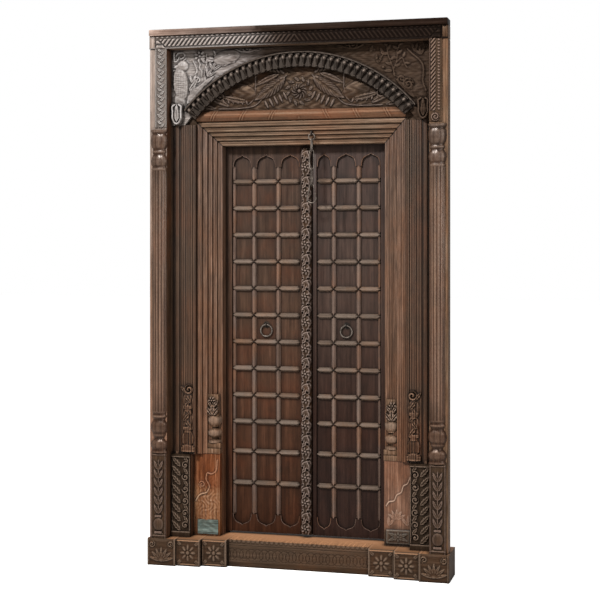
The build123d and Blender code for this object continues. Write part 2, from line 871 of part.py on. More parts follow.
def field_edges(side):
    # Across the panel field of one leaf, from the hinge stile to the meeting stile.
    if side < 0:
        return -stile_inner, left_edge - left_meeting_width
    return stile_inner, right_edge + right_meeting_width


def planks(side):
    hinge_edge, meeting_edge = field_edges(side)
    joints = [hinge_edge, side * bar_line_outer, side * bar_line_inner, meeting_edge]
    boards = []
    for start, end in zip(joints, joints[1:]):
        low, high = sorted((start, end))
        boards.append(slab(low + plank_joint / 2, high - plank_joint / 2, panel_depth, plank_back,
                           leaf_foot, leaf_top))
    return Compound(children=boards)


def hinge_stile():
    # The heel is a half round about the pivot, so it turns inside the rebate of the jamb.
    back, front = leaf_depth + heel_radius, leaf_depth - heel_radius
    body = slab(stile_inner, pivot_x, front, back, leaf_foot, leaf_top)
    heel = Cylinder(heel_radius, leaf_top - leaf_foot, align=(Align.CENTER, Align.CENTER, Align.MIN))
    pivot_reach = leaf_top - leaf_foot + 2 * pivot_length
    pivot = Cylinder(pivot_radius, pivot_reach, align=(Align.CENTER, Align.CENTER, Align.MIN))
    timber = joined(body, [Pos(pivot_x, at(leaf_depth), leaf_foot) * heel])
    return joined(timber, [Pos(pivot_x, at(leaf_depth), leaf_foot - pivot_length) * pivot])


def meeting_stile(side):
    if side < 0:
        return slab(left_edge - left_meeting_width, left_edge, meeting_front, plank_back, leaf_foot, leaf_top)
    return slab(right_edge, right_edge + right_meeting_width, meeting_front, plank_back, leaf_foot, leaf_top)


def arch_outline(low, high, spring, tip):
    width, rise = high - low, tip - spring
    first = [(low + across * width, spring + up * rise) for across, up in ogee_shares]
    second = [(high - across * width, spring + up * rise) for across, up in reversed(ogee_shares[:-1])]
    return first + second


def arched_rail(side, spring, tip, end):
    hinge_edge, meeting_edge = field_edges(side)
    lines = sorted([hinge_edge, side * bar_line_outer, side * bar_line_inner, meeting_edge])
    half = bar_width / 2
    edge = [(lines[0], spring)]
    for index in range(3):
        low = lines[index] + (half if 0 < index else arch_margin)
        high = lines[index + 1] - (half if index < 2 else arch_margin)
        edge += arch_outline(low, high, spring, tip)
    edge.append((lines[3], spring))
    return face_prism(edge + [(lines[3], end), (lines[0], end)], arch_rail_front, panel_depth)


def fillet(start, end, line):
    # A hipped level bar, pointed at both ends, with its ridge towards the front.
    half = bar_width / 2
    plan = [(start, 0), (start + half, -half), (end - half, -half), (end, 0), (end - half, half),
            (start + half, half)]
    spots = [(along, at(panel_depth), line + across) for along, across in plan]
    spots += [(start + half, at(bar_front), line), (end - half, at(bar_front), line)]
    sides = [(0, 1, 6), (1, 2, 7, 6), (2, 3, 7), (3, 4, 7), (4, 5, 6, 7), (5, 0, 6)]
    return facets([spots[:6]] + [[spots[corner] for corner in side] for side in sides])


def uprights(side):
    half, ridge = upright_width / 2, upright_ridge / 2
    bars = []
    for line in (side * bar_line_outer, side * bar_line_inner):
        section = [(line - half, panel_depth), (line - ridge, upright_front),
                   (line + ridge, upright_front), (line + half, panel_depth)]
        bars.append(plan_prism(section, foot_arch_spring, top_arch_spring))
    return Compound(children=bars)


def cross_bars(side):
    hinge_edge, meeting_edge = field_edges(side)
    lines = sorted([hinge_edge, side * bar_line_outer, side * bar_line_inner, meeting_edge])
    bars = []
    reach = upright_width / 2 + tip_gap
    for row in row_heights():
        for index, (low, high) in enumerate(zip(lines, lines[1:])):
            start = low + (reach if index > 0 else tip_gap)
            end = high - (reach if index < 2 else tip_gap)
            bars.append(fillet(start, end, row))
    return Compound(children=bars)


def ledges(side):
    hinge_edge, meeting_edge = field_edges(side)
    low, high = sorted((side * (pivot_x - ledge_inset), meeting_edge))
    step = (leaf_top - ledge_drop - ledge_foot) / (ledge_count - 1)
    boards = []
    for index in range(ledge_count):
        foot = ledge_foot + index * step
        boards.append(slab(low, high, plank_back, ledge_back, foot, foot + ledge_width))
    return Compound(children=boards)


# Astragal: carved cover strip on the meeting stile, bevelled so the leaf can swing past the other
astragal_foot = 136
astragal_drop = 15
astragal_front = 168
astragal_width = 50
astragal_bevel = 9
astragal_repeats = 13
astragal_rosette_radius = 15
astragal_petals = 6
astragal_leaf_length = 42
astragal_leaf_width = 12
astragal_leaf_turn = 74
astragal_leaf_offset = 4
astragal_leaf_rows = 2
astragal_leaf_pitch = 46

astragal_head = opening_top - astragal_drop


def astragal():
    high = left_edge
    low = high - astragal_width
    waist = (astragal_front + meeting_front) / 2
    section = [(low, meeting_front), (low, waist), (low + astragal_bevel, astragal_front),
               (high - astragal_bevel, astragal_front), (high, waist), (high, meeting_front)]
    strip = plan_prism(section, astragal_foot, astragal_head)
    middle = (low + high) / 2
    pitch = (astragal_head - astragal_foot) / astragal_repeats
    carving = []
    for index in range(astragal_repeats):
        foot = astragal_foot + index * pitch
        carving.append(rosette(middle, foot + astragal_rosette_radius, astragal_rosette_radius,
                               astragal_petals, astragal_front))
        for row in range(astragal_leaf_rows):
            z = foot + 2 * astragal_rosette_radius + row * astragal_leaf_pitch
            for side, turn in ((1, astragal_leaf_turn), (-1, 180 - astragal_leaf_turn)):
                carving.append(leaf(middle + side * astragal_leaf_offset, z, turn, astragal_leaf_length,
                                    astragal_leaf_width, astragal_front))
    return joined(strip, carving)


# Iron ring pulls on their staples
ring_rows_above_count = 5
ring_lift_share = 0.1472
ring_radius_share = 0.219
ring_wire = 4
ring_segments = 12
wire_sides = 6
eye_wire = 3
eye_radius = 8
eye_segments = 8
rose_radius = 15
rose_thickness = 3

ring_x = (bar_line_outer + bar_line_inner) / 2
ring_z = row_top - (ring_rows_above_count + 1 / 2 - ring_lift_share) * row_pitch
ring_radius = ring_radius_share * row_pitch


def circle_path(radius, segments):
    turns = [2 * pi * step / segments for step in range(segments)]
    return [(radius * cos(turn), radius * sin(turn)) for turn in turns]


def staple_eye(x, depth, z, radius, wire, surface):
    plane = Plane(origin=(x, at(depth), z), x_dir=(0, 1, 0), z_dir=(1, 0, 0))
    loop = bent_bar(circle_path(radius, eye_segments), plane, wire, wire_sides)
    reach = radius + 2 * wire
    keep = slab(x - reach, x + reach, depth - 2 * reach, surface, z - reach, z + reach)
    return keep & loop


eye_depth = panel_depth - eye_radius


def ring_staple(side):
    rose = front_plane(panel_depth) * Pos(side * ring_x, ring_z) * RegularPolygon(rose_radius, wire_sides + 2)
    plate = extrude(rose, amount=rose_thickness)
    return joined(plate, [staple_eye(side * ring_x, eye_depth, ring_z, eye_radius, eye_wire, panel_depth)])


eye_inner = (eye_radius - eye_wire) * cos(pi / eye_segments)
ring_drop = eye_inner - ring_wire - seat_gap


def pull_ring(side):
    centre = ring_z - ring_drop - ring_radius
    plane = Plane(origin=(side * ring_x, at(eye_depth), centre), x_dir=(0, 0, 1), z_dir=(0, 1, 0))
    return bent_bar(circle_path(ring_radius, ring_segments), plane, ring_wire, wire_sides)


# Door chain: a staple in the lintel, a ring, three long links and a pear-shaped hasp
chain_x = 52
chain_eye_rise = 48
chain_eye_radius = 10
chain_eye_wire = 3.5
chain_wire = 3.2
chain_ring_radius = 14
chain_ring_segments = 12
link_lengths = (60, 87, 82)
link_half_width = 9.5
link_arc_steps = 4
link_gap = 0.9
hasp_length = 84
hasp_top_radius = 9
hasp_foot_radius = 21
hasp_arc_steps = 6
chain_eye_z = opening_top + chain_eye_rise
chain_surface = moulding_front + 2 * reed_depth_step
chain_depth = chain_surface - chain_eye_radius
chain_nest = 2 * chain_wire + link_gap
chain_eye_inner = (chain_eye_radius - chain_eye_wire) * cos(pi / eye_segments)
chain_ring_top = chain_eye_z - (chain_eye_inner - chain_wire - seat_gap)


def lintel_staple():
    return staple_eye(chain_x, chain_depth, chain_eye_z, chain_eye_radius, chain_eye_wire, chain_surface)


def chain_tops():
    # Height of the top wire of the ring, of each link and of the hasp.
    tops = [chain_ring_top]
    foot = chain_ring_top - 2 * chain_ring_radius
    for length in link_lengths:
        tops.append(foot + chain_nest)
        foot = tops[-1] - length
    tops.append(foot + chain_nest)
    return tops


def arc_points(centre, radius, start, end, steps):
    turns = [radians(start + (end - start) * step / steps) for step in range(steps + 1)]
    return [(centre + radius * cos(turn), radius * sin(turn)) for turn in turns]


def chain_plane(top, crosswise):
    # Local X runs down the link, so that its turn is at the top wire.
    normal = (1, 0, 0) if crosswise else (0, 1, 0)
    return Plane(origin=(chain_x, at(chain_depth), top), x_dir=(0, 0, -1), z_dir=normal)


def chain_ring():
    plane = chain_plane(chain_tops()[0] - chain_ring_radius, False)
    return bent_bar(circle_path(chain_ring_radius, chain_ring_segments), plane, chain_wire, wire_sides)


def chain_link(index):
    length = link_lengths[index]
    head = arc_points(link_half_width, link_half_width, 90, 270, link_arc_steps)
    foot = arc_points(length - link_half_width, link_half_width, 270, 450, link_arc_steps)
    plane = chain_plane(chain_tops()[index + 1], index % 2 == 0)
    return bent_bar(head + foot, plane, chain_wire, wire_sides)


def chain_hasp():
    crosswise = len(link_lengths) % 2 == 0
    head = arc_points(hasp_top_radius, hasp_top_radius, 90, 270, link_arc_steps)
    foot = arc_points(hasp_length - hasp_foot_radius, hasp_foot_radius, 270, 450, hasp_arc_steps)
    return bent_bar(head + foot, chain_plane(chain_tops()[-1], crosswise), chain_wire, wire_sides)


def all_nodes():
    nodes = {"sill": sill(), "lintel": lintel(), "ribbon_bead": ribbon_bead()}
    for name, build in (("post", post), ("column", column), ("pedestal", pedestal), ("band", band),
                        ("band_plinth", band_plinth), ("jamb", jamb), ("jamb_plinth", jamb_plinth),
                        ("arch_bracket", arch_bracket)):
        shape = build()
        nodes["right_" + name] = shape
        nodes["left_" + name] = mirrored(shape)
    nodes["tympanum_panel"] = tympanum_panel()
    nodes["arch_panel"] = arch_panel()
    nodes["arch_bud_border"] = arch_bud_border()
    nodes["cap_board"] = cap_board()
    nodes["top_rail"] = top_rail()
    nodes["rope_moulding"] = rope_moulding()
    nodes["left_frieze_strip"] = left_frieze_strip()
    nodes["right_frieze_strip"] = right_frieze_strip()
    nodes["lintel_staple"] = lintel_staple()
    stile = hinge_stile()
    for name, side in (("left", -1), ("right", 1)):
        nodes[name + "_leaf_planks"] = planks(side)
        nodes[name + "_hinge_stile"] = stile if side > 0 else mirrored(stile)
        nodes[name + "_meeting_stile"] = meeting_stile(side)
        nodes[name + "_leaf_top_rail"] = arched_rail(side, top_arch_spring, top_arch_tip, leaf_top)
        nodes[name + "_leaf_foot_rail"] = arched_rail(side, foot_arch_spring, foot_arch_tip, leaf_foot)
        nodes[name + "_lattice_uprights"] = uprights(side)
        nodes[name + "_lattice_cross_bars"] = cross_bars(side)
        nodes[name + "_leaf_ledges"] = ledges(side)
        nodes[name + "_ring_staple"] = ring_staple(side)
        nodes[name + "_pull_ring"] = pull_ring(side)
    nodes["astragal"] = astragal()
    nodes["chain_ring"] = chain_ring()
    for index, name in enumerate(("upper", "middle", "lower")):
        nodes["chain_link_" + name] = chain_link(index)
    nodes["chain_hasp"] = chain_hasp()
    return nodes


os.makedirs("parts", exist_ok=True)
for node_name, node_shape in all_nodes().items():
    export_step(node_shape, "parts/" + node_name + ".step")
print("chain tops", [round(top, 2) for top in chain_tops()])
print("ring pivots", round(ring_z - ring_drop, 2), "depth", round(eye_depth, 2))
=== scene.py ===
import bpy, bmesh, json
import numpy as np
from math import hypot, cos, pi, radians, sin
from mathutils import Matrix, Vector

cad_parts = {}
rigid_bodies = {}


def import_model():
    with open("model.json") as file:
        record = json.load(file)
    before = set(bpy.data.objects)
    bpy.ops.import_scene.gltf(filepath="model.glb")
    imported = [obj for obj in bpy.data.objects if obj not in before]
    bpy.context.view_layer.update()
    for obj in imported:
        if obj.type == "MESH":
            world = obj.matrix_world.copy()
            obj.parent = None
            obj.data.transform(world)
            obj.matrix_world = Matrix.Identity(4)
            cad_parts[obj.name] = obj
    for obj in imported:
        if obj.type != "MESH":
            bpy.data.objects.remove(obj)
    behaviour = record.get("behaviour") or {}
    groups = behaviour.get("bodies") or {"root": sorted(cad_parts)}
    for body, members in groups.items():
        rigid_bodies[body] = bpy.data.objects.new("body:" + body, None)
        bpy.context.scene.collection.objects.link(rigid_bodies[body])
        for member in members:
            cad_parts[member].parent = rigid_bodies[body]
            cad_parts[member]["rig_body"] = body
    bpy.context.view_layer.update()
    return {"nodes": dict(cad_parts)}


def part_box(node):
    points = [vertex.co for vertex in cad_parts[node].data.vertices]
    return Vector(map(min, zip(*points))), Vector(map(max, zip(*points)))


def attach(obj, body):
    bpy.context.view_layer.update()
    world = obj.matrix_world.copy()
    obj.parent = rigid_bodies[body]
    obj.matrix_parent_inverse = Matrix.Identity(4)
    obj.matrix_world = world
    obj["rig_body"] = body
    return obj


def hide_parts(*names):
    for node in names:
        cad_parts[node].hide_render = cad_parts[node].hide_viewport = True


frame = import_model()
nodes = frame["nodes"]
mm = 0.001
depthCentre = 121          # depths are counted from the posts' front plane, as on the drawing


def spot(x, depth, z):
    return Vector((x * mm, (depth - depthCentre) * mm, z * mm))


# camera: fitted to the straight edges of the frame
camera = {"lens": 81.53, "place": (1.564, -5.954, 1.456), "turn": 14.785, "shift": -0.0907}
cameraData = bpy.data.cameras.new("photoCamera")
cameraData.sensor_width = 36
cameraData.lens = camera["lens"]
cameraData.shift_y = camera["shift"]
cameraObject = bpy.data.objects.new("photoCamera", cameraData)
cameraObject.location = camera["place"]
cameraObject.rotation_euler = (radians(90), 0, radians(camera["turn"]))
bpy.context.scene.collection.objects.link(cameraObject)
bpy.context.scene.camera = cameraObject
bpy.context.scene.view_settings.view_transform = "Standard"


# one function for colours and one for nodes
def toLinear(hexColour):
    parts = [int(hexColour[i:i + 2], 16) / 255 for i in (0, 2, 4)]
    return [p / 12.92 if p <= 0.04045 else ((p + 0.055) / 1.055) ** 2.4 for p in parts] + [1]


def addNode(tree, kind, settings=(), links=()):
    node = tree.nodes.new("ShaderNode" + kind)
    for key, value in dict(settings).items():
        if key == "stops":
            elements = node.color_ramp.elements
            elements.remove(elements[1])
            for index, (place, colour) in enumerate(value):
                stop = elements.new(place) if index else elements[0]
                stop.position, stop.color = place, toLinear(colour)
        elif isinstance(key, str) and hasattr(node, key):
            setattr(node, key, value)
        else:
            node.inputs[key].default_value = value
    for socket, source in dict(links).items():
        tree.links.new(source, node.inputs[socket])
    return node


def newMaterial(name):
    material = bpy.data.materials.new(name)
    material.use_nodes = True
    tree = material.node_tree
    tree.nodes.clear()
    shader = addNode(tree, "BsdfPrincipled")
    addNode(tree, "OutputMaterial", {}, {0: shader.outputs[0]})
    return material, tree, shader


# Old teak, sawn, carved and waxed by hand: long grey-brown streaks, dark dirt and painted shade
# in the hollows, pale rubbed tops with a painted highlight on the carving and a low waxy sheen.
# The sizes of its figure are in millimetres; real fibres are finer, and these are as fine as the picture
# shows.
figure = {"streak": 7, "streakLength": 420, "fibre": 3, "fibreLength": 90, "blotch": 24, "blotchLength": 90,
          "patch": 230, "speckle": 9, "relief": 0.9, "dirtAndShadeReach": 26, "grimeAndShade": "120c09", "seam": "1c1410"}


def oldWood(name, spec):
    material, tree, shader = newMaterial(name)
    place = addNode(tree, "TexCoord").outputs["Object"]
    grain = "xyz".index(spec["grain"])
    drawn = {}
    for part in ("streak", "fibre", "blotch"):
        scale = [1 / (spec.get(part, figure[part]) * mm)] * 3
        scale[grain] = 1 / (figure[part + "Length"] * mm)
        drawn[part] = addNode(tree, "Mapping", {"Scale": scale}, {"Vector": place}).outputs[0]
    streak = addNode(tree, "TexNoise", {"Scale": 1, "Detail": 5, "Roughness": 0.62, "Distortion": 0.6},
                     {"Vector": drawn["streak"]}).outputs[0]
    fibre = addNode(tree, "TexNoise", {"Scale": 1, "Detail": 2, "Roughness": 0.5},
                    {"Vector": drawn["fibre"]}).outputs[0]
    patch = addNode(tree, "TexNoise", {"Scale": 1 / (figure["patch"] * mm), "Detail": 4, "Roughness": 0.65},
                    {"Vector": place}).outputs[0]
    stops = [(0.30, spec["dark"]), (0.5, spec["mid"]), (0.70, spec["light"])]
    colour = addNode(tree, "ValToRGB", {"stops": stops}, {"Fac": streak}).outputs[0]
    # worn through to the warm wood in patches
    warmth = addNode(tree, "MapRange",
                     {"From Min": 0.45, "From Max": 0.68, "To Min": 0.0, "To Max": spec["warmth"]},
                     {"Value": patch})
    colour = addNode(tree, "Mix", {"data_type": "RGBA", 7: toLinear(spec["warm"])},
                     {0: warmth.outputs[0], 6: colour}).outputs[2]
    # dark pores
    pores = addNode(tree, "MapRange", {"From Min": 0.36, "From Max": 0.5, "To Min": 0.5, "To Max": 0.0},
                    {"Value": fibre})
    colour = addNode(tree, "Mix", {"data_type": "RGBA", 7: toLinear(spec["dark"])},
                     {0: pores.outputs[0], 6: colour}).outputs[2]
    # blotches of old wax and handling
    blotch = addNode(tree, "TexNoise", {"Scale": 1, "Detail": 6, "Roughness": 0.75},
                     {"Vector": drawn["blotch"]})
    tone = addNode(tree, "MapRange", {"From Min": 0.3, "From Max": 0.7, "To Min": 0.68, "To Max": 1.32},
                   {"Value": blotch.outputs[0]})
    colour = addNode(tree, "Mix", {"data_type": "RGBA", "blend_type": "MULTIPLY", 0: 1.0},
                     {6: colour, 7: tone.outputs[0]}).outputs[2]
    # upward faces paler: trodden wear, and painted light from above
    if "top" in spec:                    # trodden upper side
        normal = addNode(tree, "NewGeometry").outputs["Normal"]
        upward = addNode(tree, "SeparateXYZ", {}, {0: normal}).outputs[2]
        troddenAndLitShare = addNode(tree, "MapRange", {"From Min": 0.5, "From Max": 0.9, "To Max": 0.8},
                         {"Value": upward})
        colour = addNode(tree, "Mix", {"data_type": "RGBA", 7: toLinear(spec["top"])},
                         {0: troddenAndLitShare.outputs[0], 6: colour}).outputs[2]
    # rubbed tops, which also carry a painted highlight, and dark hollows with painted shade, from the heights
    # that the carving stored on its points
    speckle = addNode(tree, "TexNoise",
                      {"Scale": 1 / (figure["speckle"] * mm), "Detail": 3, "Roughness": 0.7},
                      {"Vector": place})
    patchy = addNode(tree, "MapRange", {"From Min": 0.35, "From Max": 0.7, "To Min": 0.5, "To Max": 1.0},
                     {"Value": speckle.outputs[0]})
    tops = addNode(tree, "Attribute", {"attribute_name": "worn"}).outputs["Fac"]
    rubAndHighlightShare = addNode(tree, "Math", {"operation": "MULTIPLY"}, {0: tops, 1: patchy.outputs[0]})
    rubAndHighlightShare = addNode(tree, "Math", {"operation": "MULTIPLY", "use_clamp": True, 1: spec["rubAndHighlight"]},
                       {0: rubAndHighlightShare.outputs[0]})
    colour = addNode(tree, "Mix", {"data_type": "RGBA", 7: toLinear(spec["rubbed"])},
                     {0: rubAndHighlightShare.outputs[0], 6: colour}).outputs[2]
    # dry oil leaves a brownish shine
    shader.inputs["Specular Tint"].default_value = toLinear(spec.get("shine", "d8b698"))
    shader.inputs["Specular IOR Level"].default_value = spec.get("gleam", 0.34)
    # on the spandrels, the brackets, the cap board and the rope the sweep is partly painted light, falling
    # off from the left to the right; it tints the shine the same way
    if "sweep" in spec:                  # slow change of tone along the piece
        axis, low, high, stops = spec["sweep"]
        apart = addNode(tree, "SeparateXYZ", {}, {0: place})
        along = addNode(tree, "MapRange", {"From Min": low * mm, "From Max": high * mm},
                        {"Value": apart.outputs["xyz".index(axis)]})
        rough = addNode(tree, "Math", {"operation": "MULTIPLY_ADD", 1: 0.25, 2: -0.125}, {0: patch})
        mixed = addNode(tree, "Math", {"operation": "ADD"}, {0: along.outputs[0], 1: rough.outputs[0]})
        sweep = addNode(tree, "ValToRGB", {"stops": stops}, {"Fac": mixed.outputs[0]})
        colour = addNode(tree, "Mix", {"data_type": "RGBA", "blend_type": "MULTIPLY", 0: 1.0},
                         {6: colour, 7: sweep.outputs[0]}).outputs[2]
        tree.links.new(sweep.outputs[0], shader.inputs["Specular Tint"])
    if "mitre" in spec:                  # dark line where the jambs and the lintel meet
        inner, head, width = spec["mitre"]
        apart = addNode(tree, "SeparateXYZ", {}, {0: place})
        out = addNode(tree, "Math", {"operation": "ABSOLUTE"}, {0: apart.outputs[0]})
        off = addNode(tree, "Math", {"operation": "SUBTRACT"}, {0: apart.outputs[2], 1: out.outputs[0]})
        seam = addNode(tree, "Math", {"operation": "COMPARE", 1: (head - inner) * mm, 2: width * mm},
                       {0: off.outputs[0]})
        colour = addNode(tree, "Mix", {"data_type": "RGBA", 7: toLinear(figure["seam"])},
                         {0: seam.outputs[0], 6: colour}).outputs[2]
    # dirt and painted shade in the hollows: ambient occlusion and the stored sunk share darken the colour
    sunk = addNode(tree, "Attribute", {"attribute_name": "sunk"}).outputs["Fac"]
    reach = spec.get("dirtAndShadeReach", figure["dirtAndShadeReach"]) * mm
    hollow = addNode(tree, "AmbientOcclusion", {"samples": 5, "Distance": reach})
    dirtAndShade = addNode(tree, "MapRange",
                   {"From Min": 0.35, "From Max": 0.92, "To Min": spec["dirtAndShade"], "To Max": 0.0},
                   {"Value": hollow.outputs["AO"]})
    grimeAndShadeShare = addNode(tree, "Math", {"operation": "MULTIPLY_ADD", "use_clamp": True, 1: 0.75},
                        {0: sunk, 2: dirtAndShade.outputs[0]})
    colour = addNode(tree, "Mix", {"data_type": "RGBA", 7: toLinear(figure["grimeAndShade"])},
                     {0: grimeAndShadeShare.outputs[0], 6: colour}).outputs[2]
    tree.links.new(colour, shader.inputs["Base Color"])
    sheen = addNode(tree, "MapRange", {"From Min": 0.3, "From Max": 0.7, "To Min": spec["gloss"] - 0.08,
                                       "To Max": spec["gloss"] + 0.12}, {"Value": streak})
    tree.links.new(sheen.outputs[0], shader.inputs["Roughness"])
    both = addNode(tree, "Math", {"operation": "ADD"}, {0: streak, 1: fibre})
    bump = addNode(tree, "Bump", {"Strength": 0.5, "Distance": figure["relief"] * mm},
                   {"Height": both.outputs[0]})
    tree.links.new(bump.outputs[0], shader.inputs["Normal"])
    return material
